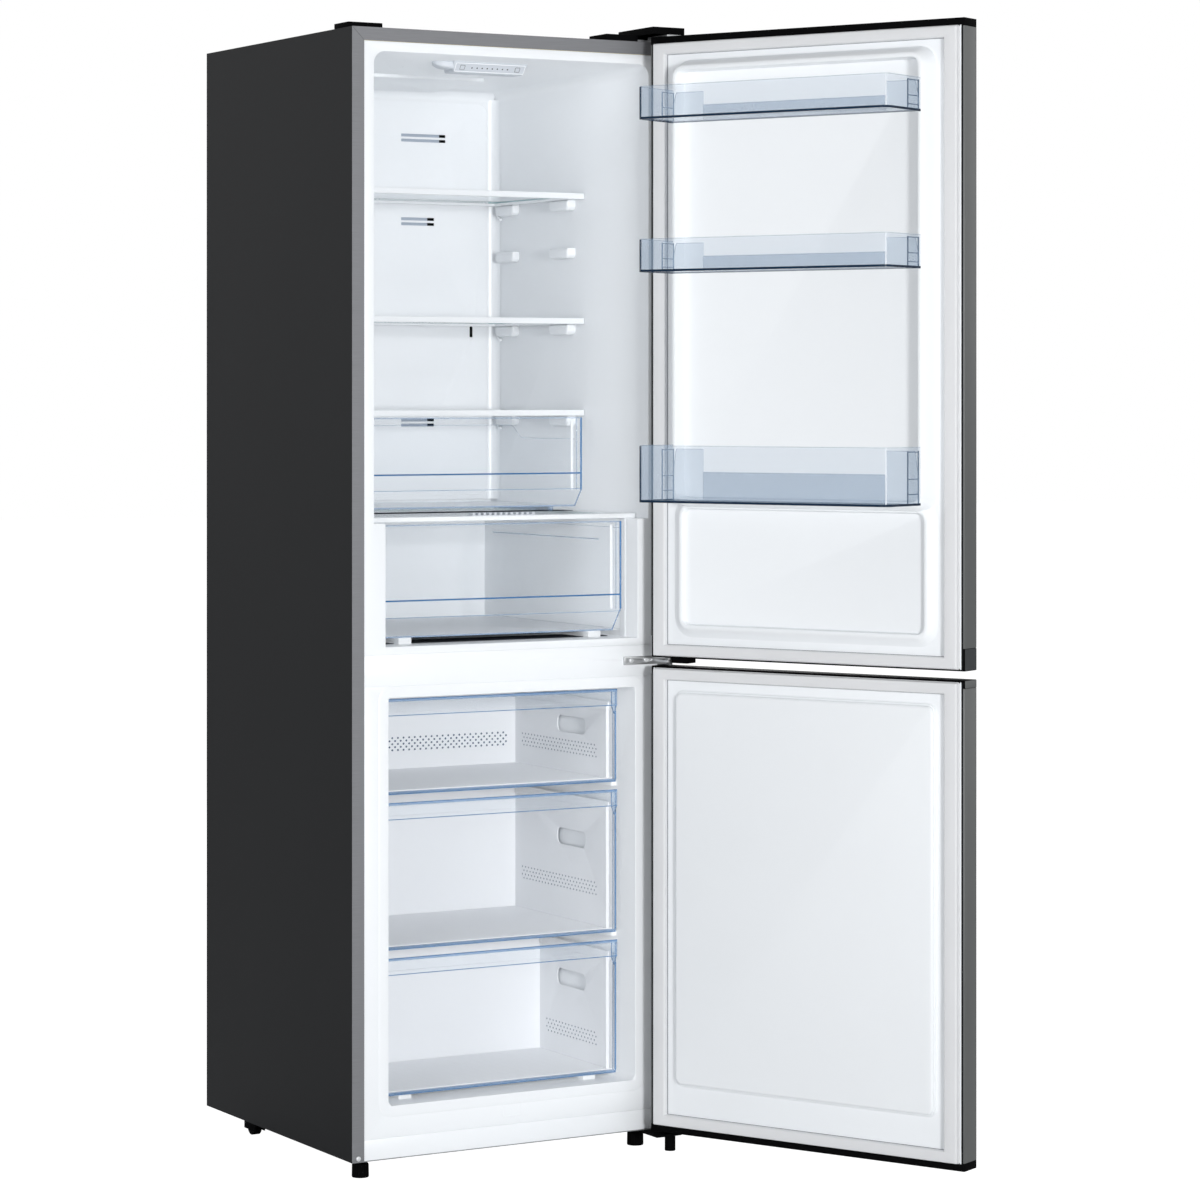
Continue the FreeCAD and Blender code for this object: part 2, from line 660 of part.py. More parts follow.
def make_cooling():
    """Compressor set in the niche, and the evaporator, fan and covers in the compartments."""
    x = "-compressor_offset"
    plate_half = "(compressor_radius + plate_overhang)"
    plate = box("pot_plate", (f"{x} - {plate_half}", f"{x} + {plate_half}"),
                (f"{COMPRESSOR_Y} - {plate_half}", f"{COMPRESSOR_Y} + {plate_half}"),
                (PLATE_LOW, f"{PLATE_LOW} + plate_thickness"))
    pot_low = f"{PLATE_LOW} + plate_thickness"
    pot_high = f"{pot_low} + compressor_height"
    pot = rod("pot", "z", "compressor_radius", x, COMPRESSOR_Y, (pot_low, pot_high))
    dome = rod("pot_dome", "z", "compressor_radius", x, COMPRESSOR_Y, (pot_high, POT_TOP),
               far_radius="compressor_radius - compressor_dome")
    node("compressor", fuse("compressor", plate, pot, dome))
    mounts = []
    corner = "(compressor_radius + plate_overhang - mount_radius)"
    for number, (right, back) in enumerate((("+", "+"), ("+", "-"), ("-", "+"), ("-", "-"))):
        mounts.append(rod(f"mount_{number}", "z", "mount_radius", f"{x} {right} {corner}",
                          f"{COMPRESSOR_Y} {back} {corner}", (PAN_TOP, PLATE_LOW)))
    node("compressor_mounts", group("compressor_mounts", *mounts))
    tray_half = "(compressor_radius + tray_overhang)"
    tray = box("tray_block", (f"{x} - {tray_half}", f"{x} + {tray_half}"),
               (f"{COMPRESSOR_Y} - {tray_half}", f"{COMPRESSOR_Y} + {tray_half}"),
               (POT_TOP, f"{POT_TOP} + tray_height"))
    basin = f"({tray_half} - tray_wall)"
    hollow = box("tray_hollow", (f"{x} - {basin}", f"{x} + {basin}"),
                 (f"{COMPRESSOR_Y} - {basin}", f"{COMPRESSOR_Y} + {basin}"),
                 (f"{POT_TOP} + tray_wall", f"{POT_TOP} + tray_height + cut_overrun"))
    node("drip_tray", cut("drip_tray", tray, hollow))

    half = f"({FREEZER_HALF} - cover_side_gap)"
    low, high = f"({STEP_TOP} + ledge_height)", f"({FREEZER_CEILING} - freezer_corner)"
    block = box("freezer_cover_block", wide(half), (EVAPORATOR_FRONT, FREEZER_BACK), (low, high))
    inside = box("freezer_cover_inside", wide(f"({half} - cover_sheet)"),
                 (f"{EVAPORATOR_FRONT} + cover_sheet", f"{FREEZER_BACK} + cut_overrun"),
                 (f"{low} + cover_sheet", f"{high} - cover_sheet"))
    through = (f"{EVAPORATOR_FRONT} - cut_overrun", f"{EVAPORATOR_FRONT} + cover_sheet + cut_overrun")
    mouth = rod("fan_mouth", "y", "fan_radius + fan_gap", "0", through, FAN_AXIS)
    slots = []
    for number in range(AIR_SLOT_COUNT):
        slot_low = f"{low} + air_slot_margin + {number} * air_slot_pitch"
        slots.append(box(f"air_slot_{number}", wide(EVAPORATOR_HALF), through,
                         (slot_low, f"{slot_low} + air_slot_height")))
    node("freezer_back_cover", cut("freezer_back_cover", block, inside, mouth, *slots))

    coil = (f"({low} + coil_lift)", f"({low} + coil_lift + evaporator_height)")
    fins = []
    for number in range(FIN_COUNT):
        step = f"(2 * {EVAPORATOR_HALF} - fin_thickness) * {number} / {FIN_COUNT - 1}"
        place = f"({step} - {EVAPORATOR_HALF})"
        fins.append(box(f"fin_{number}", (place, f"{place} + fin_thickness"),
                        (f"{FREEZER_BACK} - evaporator_depth", FREEZER_BACK), coil))
    for number in range(TUBE_COUNT):
        height = f"{coil[0]} + evaporator_height * {2 * number + 1} / {2 * TUBE_COUNT}"
        fins.append(rod(f"coil_{number}", "x", "tube_radius", wide(EVAPORATOR_HALF),
                        f"{FREEZER_BACK} - evaporator_depth / 2", height))
    node("evaporator", fuse("evaporator", *fins))

    shaft = rod("fan_shaft", "y", "shaft_radius", "0", (f"{FAN_FACE} - blade_depth", FAN_FACE), FAN_AXIS)
    body = rod("fan_body", "y", "motor_radius", "0", (FAN_FACE, FREEZER_BACK), FAN_AXIS)
    node("fan_motor", fuse("fan_motor", body, shaft))
    hub = rod("fan_hub", "y", "hub_radius", "0", (f"{FAN_FACE} - blade_depth", FAN_FACE), FAN_AXIS)
    blades = []
    for number in range(BLADE_COUNT):
        blade = doc.addObject("Part::Box", f"blade_{number}")
        turn = FULL_TURN * (number + SEAM_SHARE) / BLADE_COUNT
        bind(blade, "Length", "fan_radius - hub_radius + blade_root")
        bind(blade, "Width", "blade_thickness")
        bind(blade, "Height", "blade_depth")
        lean = FreeCAD.Rotation(FreeCAD.Vector(1, 0, 0), BLADE_LEAN)
        spin = FreeCAD.Rotation(FreeCAD.Vector(0, 1, 0), turn)
        blade.Placement = FreeCAD.Placement(FreeCAD.Vector(), spin * lean)
        bind(blade, "Placement.Base.x", f"(hub_radius - blade_root) * cos({turn})")
        bind(blade, "Placement.Base.y", f"{FAN_FACE} - blade_thickness")
        bind(blade, "Placement.Base.z", f"{FAN_AXIS} - (hub_radius - blade_root) * sin({turn})")
        blades.append(blade)
    bore = rod("fan_bore", "y", "shaft_radius + running_clearance", "0",
               (f"{FAN_FACE} - blade_depth - cut_overrun", f"{FAN_FACE} + cut_overrun"), FAN_AXIS)
    node("fan_rotor", cut("fan_rotor", fuse("fan_wheel", hub, *blades), bore))


def make_duct_cover():
    """White air duct cover on the fridge's back wall, with paired slots and a sensor slot."""
    half = f"({FRIDGE_BACK_HALF} - duct_side_gap)"
    low, high = f"({COVER_TOP} + duct_end_gap)", f"({FRIDGE_CEILING} - ceiling_drop - duct_end_gap)"
    front = f"({FRIDGE_BACK} - duct_depth)"
    block = box("duct_block", wide(half), (front, FRIDGE_BACK), (low, high))
    inside = box("duct_inside", wide(f"({half} - duct_wall)"),
                 (f"{front} + duct_wall", f"{FRIDGE_BACK} + cut_overrun"),
                 (f"{low} + duct_wall", f"{high} - duct_wall"))
    through = (f"{front} - cut_overrun", f"{front} + duct_wall + cut_overrun")
    slots = []
    bays = (
        (high, "slot_drop", "slot_length"),
        (shelf_top(SHELF_LEVEL_SHARES["upper"]), "bay_slot_drop", "bay_slot_length"),
        (shelf_top(SHELF_LEVEL_SHARES["lower"]), "low_slot_drop", "bay_slot_length"),
    )
    for number, (top, drop, width) in enumerate(bays):
        for line in range(2):
            z = f"({top} - {drop} - {line} * slot_pitch)"
            for side, span in zip("rl", both("slot_inset", f"slot_inset + {width}")):
                slots.append(box(f"slot_{number}_{line}_{side}", span, through, (f"{z} - slot_height", z)))
    sensor = shelf_top(SHELF_LEVEL_SHARES["middle"])
    edge = f"{half} - sensor_slot_margin"
    slots.append(box("sensor_slot", (f"{edge} - sensor_slot_width", edge), through,
                     (f"{sensor} - trim_height - sensor_slot_height", f"{sensor} - trim_height")))
    node("air_duct_cover", cut("air_duct_cover", block, inside, *slots))


def make_panel(room):
    """Ceiling control panel, trimmed to the fridge space, with two push buttons behind a lip."""
    y = ("panel_setback", "panel_setback + panel_depth")
    block = box("panel_block", wide("(panel_width / 2)"), y, (PANEL_LOW, f"{FRIDGE_CEILING} + cut_overrun"))
    holes = []
    middle = "(panel_setback + panel_depth / 2)"
    for number, name in enumerate(("temperature_button", "mode_button")):
        x = f"(panel_width / 2 - button_inset - {number} * button_pitch)"
        lip = f"({PANEL_LOW} + button_lip)"
        holes.append(rod(f"{name}_hole", "z", "button_radius + button_gap", x, middle,
                         (f"{PANEL_LOW} - cut_overrun", lip)))
        holes.append(rod(f"{name}_chamber", "z", "button_radius + button_flange + button_gap", x, middle,
                         (lip, f"{lip} + button_chamber")))
        key = rod(f"{name}_key", "z", "button_radius", x, middle, (f"{PANEL_LOW} - button_proud", lip))
        flange = rod(f"{name}_flange", "z", "button_radius + button_flange", x, middle,
                     (lip, f"{lip} + button_flange"))
        node(name, fuse(name, key, flange))
    node("control_panel", cut("control_panel", common("panel_body", block, room), *holes))


def make_feet():
    """Front levelling feet, and rear rollers in their brackets."""
    for side, place in (("right", f"({HALF} - foot_inset)"), ("left", f"(-({HALF} - foot_inset))")):
        pad = rod(f"{side}_pad", "z", "foot_radius", place, "foot_setback", ("0", "foot_height"))
        stud = rod(f"{side}_stud", "z", "stud_radius", place, "foot_setback",
                   ("foot_height", f"{PAN_TOP} + stud_reach"))
        node(f"front_{side}_foot", fuse(f"front_{side}_foot", pad, stud))
    brackets = []
    y = "(case_depth - roller_setback)"
    for side, place in (("right", f"({HALF} - roller_inset)"), ("left", f"(-({HALF} - roller_inset))")):
        axle_room = "axle_radius + running_clearance"
        wheel = rod(f"{side}_wheel", "x", "roller_radius",
                    (f"{place} - roller_width / 2", f"{place} + roller_width / 2"), y, "roller_radius")
        bore_reach = "(roller_width / 2 + cut_overrun)"
        bore = rod(f"{side}_bore", "x", axle_room,
                   (f"{place} - {bore_reach}", f"{place} + {bore_reach}"), y, "roller_radius")
        node(f"rear_{side}_roller", cut(f"rear_{side}_roller", wheel, bore))
        reach = "(roller_width / 2 + roller_side_gap + cheek_sheet)"
        top = box(f"{side}_bracket_top", (f"{place} - {reach}", f"{place} + {reach}"),
                  (f"{y} - bracket_length / 2", f"{y} + bracket_length / 2"),
                  ("case_base - cheek_sheet", "case_base"))
        cheeks = []
        for number, sign in enumerate("+-"):
            inner = f"{place} {sign} (roller_width / 2 + roller_side_gap)"
            outer = f"{place} {sign} {reach}"
            span = (inner, outer) if sign == "+" else (outer, inner)
            cheeks.append(box(f"{side}_cheek_{number}", span,
                              (f"{y} - cheek_length / 2", f"{y} + cheek_length / 2"),
                              ("roller_radius - cheek_drop", "case_base - cheek_sheet")))
        axle = rod(f"{side}_axle", "x", "axle_radius",
                   (f"{place} - {reach}", f"{place} + {reach}"), y, "roller_radius")
        brackets.append(fuse(f"{side}_bracket", top, *cheeks, axle))
    node("roller_brackets", group("roller_brackets", *brackets))


def make_hinges(shanks):
    """Three hinges on one upright axis, and the covers on top of the cabinet."""
    left, right = f"({HINGE_X} - hinge_rim)", f"({HINGE_X} + hinge_rim)"
    front = f"({HINGE_Y} - hinge_rim)"

    def pin(name, z):
        return rod(name, "z", "pin_radius", HINGE_X, HINGE_Y, z)

    arm_low = f"({FRIDGE_DOOR_HIGH} + running_clearance)"
    plate = box("top_plate", (f"{right} - top_plate_width", right),
                ("top_plate_setback", "top_plate_setback + top_plate_length"),
                (CASE_TOP, f"{CASE_TOP} + hinge_sheet"))
    riser = box("top_riser", (left, right), ("top_plate_setback", "top_plate_setback + hinge_sheet"),
                (CASE_TOP, f"{arm_low} + hinge_sheet"))
    arm = box("top_arm", (left, right), (front, "top_plate_setback + hinge_sheet"),
              (arm_low, f"{arm_low} + hinge_sheet"))
    post = pin("top_pin", (f"{FRIDGE_DOOR_HIGH} - pin_length", arm_low))
    top = fuse("top_hinge_body", plate, riser, arm, post)
    node("top_hinge_bracket", cut("top_hinge_bracket", top, *shanks))

    plate_x = f"({HALF} - middle_plate_inset)"
    face = box("middle_face", (f"{plate_x} - middle_plate_width", right), ("-middle_plate_sheet", "0"),
               (f"{MIDDLE} - middle_plate_height / 2", f"{MIDDLE} + middle_plate_height / 2"))
    lug = box("middle_arm", (left, right), (front, "0"),
              (f"{MIDDLE} - hinge_sheet / 2", f"{MIDDLE} + hinge_sheet / 2"))
    seat = rod("middle_shoulder", "z", "shoulder_radius", HINGE_X, HINGE_Y, (MIDDLE, FRIDGE_DOOR_LOW))
    post = pin("middle_pin", (f"{FREEZER_DOOR_HIGH} - pin_length", f"{FRIDGE_DOOR_LOW} + pin_length"))
    node("middle_hinge", cut("middle_hinge", fuse("middle_hinge_body", face, lug, seat, post), *shanks))

    base = box("bottom_plate", (f"{left} - bottom_plate_reach", right), (front, "bottom_plate_length"),
               ("case_base - hinge_sheet", "case_base"))
    seat = rod("bottom_shoulder", "z", "shoulder_radius", HINGE_X, HINGE_Y, ("case_base", FREEZER_DOOR_LOW))
    peg = rod("bottom_peg", "z", "peg_radius", HINGE_X, HINGE_Y, ("peg_floor_gap", "case_base - hinge_sheet"))
    post = pin("bottom_pin", ("case_base", f"{FREEZER_DOOR_LOW} + pin_length"))
    hole = rod("bottom_stud_hole", "z", "stud_radius + running_clearance", f"{HALF} - foot_inset",
               "foot_setback", ("case_base - hinge_sheet - cut_overrun", "case_base + cut_overrun"))
    node("bottom_hinge", cut("bottom_hinge", fuse("bottom_hinge_body", base, seat, peg, post), hole, *shanks))

    under = f"{CASE_TOP} - cut_overrun"
    step = f"({HALF} - cover_step)"
    far = f"({HALF} - cover_width)"
    over_door = f"({arm_low} + hinge_sheet)"
    tall = box("cover_tall", (step, HALF), (front, "cover_length"), (CASE_TOP, f"{CASE_TOP} + cover_height"))
    short = box("cover_short", (far, step), ("cover_low_setback", "cover_length"),
                (CASE_TOP, f"{CASE_TOP} + cover_low_height"))
    room = box("cover_room", (f"{step} + cover_wall", f"{HALF} - cover_wall"),
               (f"{front} + cover_wall", "cover_length - cover_wall"),
               (under, f"{CASE_TOP} + cover_height - cover_wall"))
    low_room = box("cover_low_room", (f"{far} + cover_wall", f"{step} + cover_wall + cut_overrun"),
                   ("cover_low_setback + cover_wall", "cover_length - cover_wall"),
                   (under, f"{CASE_TOP} + cover_low_height - cover_wall"))
    door_way = box("cover_door_way", (f"{step} - cut_overrun", f"{HALF} + cut_overrun"),
                   (f"{front} - cut_overrun", "0"), (under, over_door))
    back_slot = box("cover_back_slot", (f"{right} - top_plate_width - cut_overrun", right),
                    ("cover_length - cover_wall - cut_overrun", "cover_length + cut_overrun"),
                    (under, f"{CASE_TOP} + hinge_sheet"))
    hinge_cover = cut("hinge_cover", fuse("cover_block", tall, short), room, low_room, door_way, back_slot)
    blank = box("blank_cap", (f"-{HALF}", f"-{HALF} + cap_width"),
                ("cap_setback", "cap_setback + cap_length"), (CASE_TOP, f"{CASE_TOP} + cap_rise"))
    node("top_covers", group("top_covers", hinge_cover, blank))


def make_shelves():
    """Three framed glass shelves, and the thicker cover shelf over the crisper."""
    def frame(name, setback, top, thickness, sunk):
        back = f"({FRIDGE_BACK} - shelf_back_gap)"
        half = f"({FRIDGE_BACK_HALF} - shelf_clearance)"
        draft = f"fridge_draft * ({setback} + trim_depth) / {FRIDGE_BACK}"
        front_half = f"({FRIDGE_HALF} - {draft} - shelf_clearance)"
        glass_top = f"({top} - {sunk})"
        glass = box(f"{name}_glass", wide(half),
                    (f"{setback} + trim_depth - glass_seat", f"{back} - trim_depth + glass_seat"),
                    (f"{glass_top} - glass_thickness", glass_top))
        z = (f"{top} - {thickness}", top)
        bars = (box(f"{name}_front", wide(front_half), (setback, f"{setback} + trim_depth"), z),
                box(f"{name}_rear", wide(half), (f"{back} - trim_depth", back), z))
        rails = [box(f"{name}_rail_{side}", span, (f"{setback} + trim_depth", f"{back} - trim_depth"),
                     (f"{top} - {thickness}", f"{glass_top} - glass_thickness"))
                 for side, span in zip("rl", both(f"{half} - boss_reach", half))]
        trims = cut(f"{name}_trims", fuse(f"{name}_frame", *bars, *rails), glass)
        return glass, trims

    for level, share in SHELF_LEVEL_SHARES.items():
        glass, trims = frame(f"{level}_shelf", "shelf_setback", shelf_top(share), "trim_height", "trim_cover")
        node(f"{level}_shelf_glass", glass)
        node(f"{level}_shelf_trims", trims)
    glass, trims = frame("crisper_cover", "cover_setback", COVER_TOP, "cover_thickness", "0")
    node("crisper_cover_shelf", group("crisper_cover_shelf", glass, trims))


def tub(name, half, y, z, corner):
    """An open tray with rounded upright corners at the front."""
    block = rounded(f"{name}_outside", box(f"{name}_block", wide(half), y, z), corner, along("z", "y-"))
    hollow_half = f"({half} - drawer_wall)"
    hollow = box(f"{name}_hollow", wide(hollow_half), (f"{y[0]} + drawer_wall", f"{y[1]} - drawer_wall"),
                 (f"{z[0]} + drawer_wall", f"{z[1]} + cut_overrun"))
    inside = rounded(f"{name}_inside", hollow, f"{corner} - drawer_wall", along("z", "y-"))
    return cut(f"{name}_tray", block, inside)


def make_drawers():
    """Crisper, chiller and freezer drawers."""
    half = f"({CRISPER_HALF} - crisper_side_gap)"
    low = f"({FRIDGE_FLOOR} + crisper_glide_height)"
    node("crisper_drawer", tub("crisper", half, ("crisper_setback", f"{FRIDGE_BACK} - drawer_back_gap"),
                               (low, f"{CRISPER_LEDGE} - crisper_top_gap"), "tub_corner"))

    low = f"({COVER_TOP} + chiller_runner)"
    under = f"({shelf_top(SHELF_LEVEL_SHARES['lower'])} - trim_height)"
    back = f"{FRIDGE_BACK} - duct_depth - drawer_back_gap"
    z = (low, f"{under} - chiller_top_gap")
    face_front = "shelf_setback - front_panel"
    tray_half = f"({BOSS_HALF} - chiller_front_gap)"
    tray = tub("chiller", tray_half, ("shelf_setback", back), z, "tub_corner")
    face = box("chiller_face", wide(f"({FRIDGE_BACK_HALF} - chiller_front_gap)"),
               (face_front, "shelf_setback"), z)
    runner = f"{BOSS_HALF} - runner_inset"
    runners = [box(f"chiller_runner_{side}", span, ("shelf_setback + tub_corner", back),
                   (f"{COVER_TOP} + runner_clearance", low))
               for side, span in zip("rl", both(runner, f"{runner} + runner_width"))]
    flat = box("chiller_flat", wide(f"({tray_half} - tub_corner)"),
               (face_front, "shelf_setback + drawer_wall"), (low, f"{low} + drawer_wall"))
    node("chiller_drawer", fuse("chiller_drawer", tray, face, flat, *runners))

    half = f"({FREEZER_HALF} - drawer_side_gap)"
    panel_back = "(drawer_setback + front_lip + front_panel)"
    short_back, deep_back = f"{STEP_FRONT} - bottom_back_gap", f"{EVAPORATOR_FRONT} - drawer_back_gap"
    levels = (
        ("bottom", BOTTOM_DRAWER, "bottom_drawer_height", "bottom_grip_drop", short_back),
        ("middle", MIDDLE_DRAWER, "middle_drawer_height", "middle_grip_drop", deep_back),
        ("top", TOP_DRAWER, "top_drawer_height", "top_grip_drop", deep_back),
    )
    for name, low, height, grip_drop, back in levels:
        high = f"({low} + {height} - tub_drop)"
        block = box(f"{name}_tub_block", wide(half), (panel_back, back), (low, high))
        hollow = box(f"{name}_tub_hollow", wide(f"({half} - drawer_wall)"),
                     (f"{panel_back} + drawer_wall", f"{back} - drawer_wall"),
                     (f"{low} + drawer_wall", f"{high} + cut_overrun"))
        near, over = f"({panel_back} + grip_setback)", f"({high} - {grip_drop})"
        grip = box(f"{name}_grip", wide(HALF), (near, f"{near} + grip_length"),
                   (f"{over} - grip_height", over))
        grips = rounded(f"{name}_grips", grip, "grip_corner", along("x"))
        node(f"{name}_drawer_tub", cut(f"{name}_drawer_tub", block, hollow, grips))
        x = wide(f"({half} + front_overlap)")
        top = f"{low} + {height}"
        face = box(f"{name}_face", x, ("drawer_setback + front_lip", panel_back), (low, top))
        lip = box(f"{name}_lip", x, ("drawer_setback", "drawer_setback + front_lip"),
                  (f"{top} - front_lip_height", top))
        node(f"{name}_drawer_front", fuse(f"{name}_drawer_front", face, lip))


def pad(name, half, rise, z, inset):
    """A raised liner pad with rounded corners, drawn inset from its outside by a wall or by nothing."""
    top = f"({DOOR_FACE} + {rise} - {inset})"
    block = box(f"{name}_block", wide(f"({half} - {inset})"), (DOOR_BACK_OF_LINER, top),
                (f"{z[0]} + {inset}", f"{z[1]} - {inset}"))
    return rounded(f"{name}_corners", block, f"pad_corner - {inset}", along("y"))


def sunk_panel(name, z, grow):
    """The hollow between the fridge door's dykes, grown on its sides and floor by a wall or by nothing."""
    floor = f"({DOOR_FACE} + panel_rise - {grow})"
    block = box(f"{name}_block", wide(f"({PANEL_HALF} + {grow})"),
                (floor, f"({DOOR_FACE} + pedestal_rise + cut_overrun)"),
                (f"{z[0]} - {grow}", f"{z[1]} + {grow}"))
    return rounded(f"{name}_corners", block, f"panel_corner + {grow}", along("y"))


def make_door(name, z, caps, liner_z, pads, panel_z, lugs, pin_ends):
    """One door: skin, end caps, foam, liner and gasket, all drawn closed and swung open."""
    low, high = z
    low_cap, high_cap = caps
    body = (f"({low} + {low_cap})", f"({high} - {high_cap})")
    block = box(f"{name}_skin_block", wide(HALF), (DOOR_FRONT, DOOR_FACE), body)
    through = (f"{body[0]} - cut_overrun", f"{body[1]} + cut_overrun")
    inside = box(f"{name}_skin_inside", wide(f"({HALF} - door_sheet)"),
                 (f"{DOOR_FRONT} + door_sheet", f"{DOOR_FACE} - door_sheet"), through)
    mouth = box(f"{name}_skin_mouth", wide(f"({HALF} - skin_return)"),
                (f"{DOOR_FACE} - door_sheet - cut_overrun", f"{DOOR_FACE} + cut_overrun"), through)
    swing(node(f"{name}_door_skin", cut(f"{name}_door_skin", block, inside, mouth)))

    outer, inner = [], []
    for number, (half, rise, span) in enumerate(pads):
        outer.append(pad(f"{name}_pad_{number}", half, rise, span, "0"))
        inner.append(pad(f"{name}_core_{number}", half, rise, span, "liner_wall"))
    flange = box(f"{name}_liner_flange", wide(f"({HALF} - skin_return - rim_gap)"),
                 (DOOR_BACK_OF_LINER, DOOR_FACE), liner_z)
    solid = fuse(f"{name}_liner_block", flange, *outer)
    if panel_z:
        solid = cut(f"{name}_liner_sunk", solid, sunk_panel(f"{name}_panel", panel_z, "0"))
        room = sunk_panel(f"{name}_panel_room", panel_z, "liner_wall")
        inner = [cut(f"{name}_core_sunk_{number}", item, room) for number, item in enumerate(inner)]
    liner = cut(f"{name}_liner_shell", solid, *inner)
    swing(node(f"{name}_door_liner", fuse(f"{name}_door_liner", liner, *lugs) if lugs else liner))
    core = box(f"{name}_core", wide(f"({HALF} - door_sheet)"),
               (f"{DOOR_FRONT} + door_sheet", DOOR_BACK_OF_LINER), body)
    swing(node(f"{name}_door_foam", fuse(f"{name}_door_foam", core, *inner)))

    for end, span, reach, hole_z in pin_ends:
        cap = box(f"{name}_{end}_cap_block", wide(HALF), (DOOR_FRONT, reach), span)
        hole = rod(f"{name}_{end}_hole", "z", "pin_radius + running_clearance", HINGE_X, HINGE_Y, hole_z)
        tools = [hole]
        if reach == DOOR_BACK_OF_LINER and end == "bottom":
            pocket_back = f"({DOOR_BACK_OF_LINER} - pocket_wall)"
            tools.append(box(f"{name}_pocket",
                             (f"-{HALF} + pocket_inset", f"-{HALF} + pocket_inset + pocket_length"),
                             (f"{pocket_back} - pocket_width", pocket_back),
                             (f"{span[0]} - cut_overrun", f"{span[0]} + pocket_depth")))
        swing(node(f"{name}_door_{end}_cap", cut(f"{name}_door_{end}_cap", cap, *tools)))

    outer_half = f"({HALF} - skin_return)"
    inner_half = f"({outer_half} - gasket_side_width)"
    inner_z = (f"({liner_z[0]} + gasket_end_width)", f"({liner_z[1]} - gasket_end_width)")
    base = box(f"{name}_seal_base", wide(outer_half), (DOOR_FACE, f"{DOOR_FACE} + gasket_base"), liner_z)
    bulb = box(f"{name}_seal_bulb", wide(f"({inner_half} + bulb_width)"), (DOOR_FACE, "-gasket_clearance"),
               (f"{inner_z[0]} - bulb_width", f"{inner_z[1]} + bulb_width"))
    hollow = box(f"{name}_seal_hollow", wide(inner_half),
                 (f"{DOOR_FACE} - cut_overrun", "cut_overrun"), inner_z)
    swing(node(f"{name}_door_gasket", cut(f"{name}_door_gasket", fuse(f"{name}_seal", base, bulb), hollow)))


def bin_low(share):
    return f"({FRIDGE_DOOR_LOW} + {share} * ({FRIDGE_DOOR_HIGH} - {FRIDGE_DOOR_LOW}))"


def make_bins():
    """Clear door bins, each hung by two clips on lugs outside the door's dykes."""
    heights = {"upper": "small_bin_height", "middle": "small_bin_height", "lower": "deep_bin_height"}
    lugs = []
    for level, share in BIN_LEVEL_SHARES.items():
        low = bin_low(share)
        z = (low, f"({low} + {heights[level]})")
        back = f"({DOOR_FACE} + pedestal_rise + bin_back_gap)"
        front = f"({DOOR_FACE} + bin_reach)"
        block = rounded(f"{level}_bin_outside", box(f"{level}_bin_block", wide(BIN_HALF), (back, front), z),
                        "bin_corner", along("z", "y+"))
        side_face = f"({BIN_HALF} - bin_wall)"
        hollow = box(f"{level}_bin_hollow", wide(side_face), (f"{back} + bin_wall", f"{front} - bin_wall"),
                     (f"{low} + bin_wall", f"{z[1]} + cut_overrun"))
        inside = rounded(f"{level}_bin_inside", hollow, "bin_corner - bin_wall", along("z", "y+"))
        tray = cut(f"{level}_bin_tray", block, inside)
        clip_low = f"({low} + clip_lift)"
        rear = f"({DOOR_FACE} + bin_rear)"
        ears, clips = [], []
        for side, span in zip("rl", both(side_face, BIN_HALF)):
            ears.append(box(f"{level}_ear_{side}", span, (rear, f"{back} + bin_wall"), z))
        for side, span in zip("rl", both(f"{PEDESTAL_HALF} + clip_gap", side_face)):
            clips.append(box(f"{level}_clip_{side}", span, (rear, f"{rear} + clip_depth"),
                             (clip_low, f"{clip_low} + clip_height")))
        for side, span in zip("rl", both(f"{PEDESTAL_HALF} - lug_root", f"{side_face} - clip_gap")):
            lugs.append(box(f"{level}_lug_{side}", span, (rear, f"{rear} + lug_depth"),
                            (f"{clip_low} - lug_height", clip_low)))
        swing(node(f"{level}_door_bin", fuse(f"{level}_door_bin", tray, *ears, *clips)))
    return lugs


def make_doors():
    """Both doors with their raised liner pads, dykes and the caps that hold the hinge pins."""
    def cap_end(end, span, reach, hole):
        return end, span, reach, (f"{hole[0]} - cut_overrun", hole[1])

    lugs = make_bins()
    low, high = FRIDGE_DOOR_LOW, FRIDGE_DOOR_HIGH
    top = f"({high} - end_cap)"
    apron = f"({low} + apron_bottom_margin)"
    pedestal = (f"({low} + pedestal_bottom_margin)", f"({high} - pedestal_top_margin)")
    pads = ((PEDESTAL_HALF, "pedestal_rise", pedestal),
            (APRON_HALF, "apron_rise", (apron, f"({apron} + apron_height)")))
    panel_z = (f"({apron} + dyke_width)", f"({high} - pedestal_top_margin - dyke_width)")
    ends = (cap_end("bottom", (low, f"({low} + grip_cap)"), DOOR_BACK_OF_LINER,
                    (low, f"{low} + pin_length + pin_end_gap")),
            cap_end("top", (top, high), DOOR_FACE, (top, f"{high} + cut_overrun")))
    make_door("fridge", (low, high), ("grip_cap", "end_cap"), (f"({low} + liner_margin)", top),
              pads, panel_z, lugs, ends)

    low, high = FREEZER_DOOR_LOW, FREEZER_DOOR_HIGH
    foot, top = f"({low} + end_cap)", f"({high} - end_cap)"
    pad_span = (f"({low} + freezer_pad_low_margin)", f"({high} - freezer_pad_high_margin)")
    pads = ((FREEZER_PAD_HALF, "freezer_pad_rise", pad_span),)
    ends = (cap_end("bottom", (low, foot), DOOR_FACE, (low, f"{foot} + cut_overrun")),
            cap_end("top", (top, high), DOOR_BACK_OF_LINER, (top, f"{high} + cut_overrun")))
    make_door("freezer", (low, high), ("end_cap", "end_cap"), (foot, f"({high} - liner_margin)"),
              pads, (), (), ends)


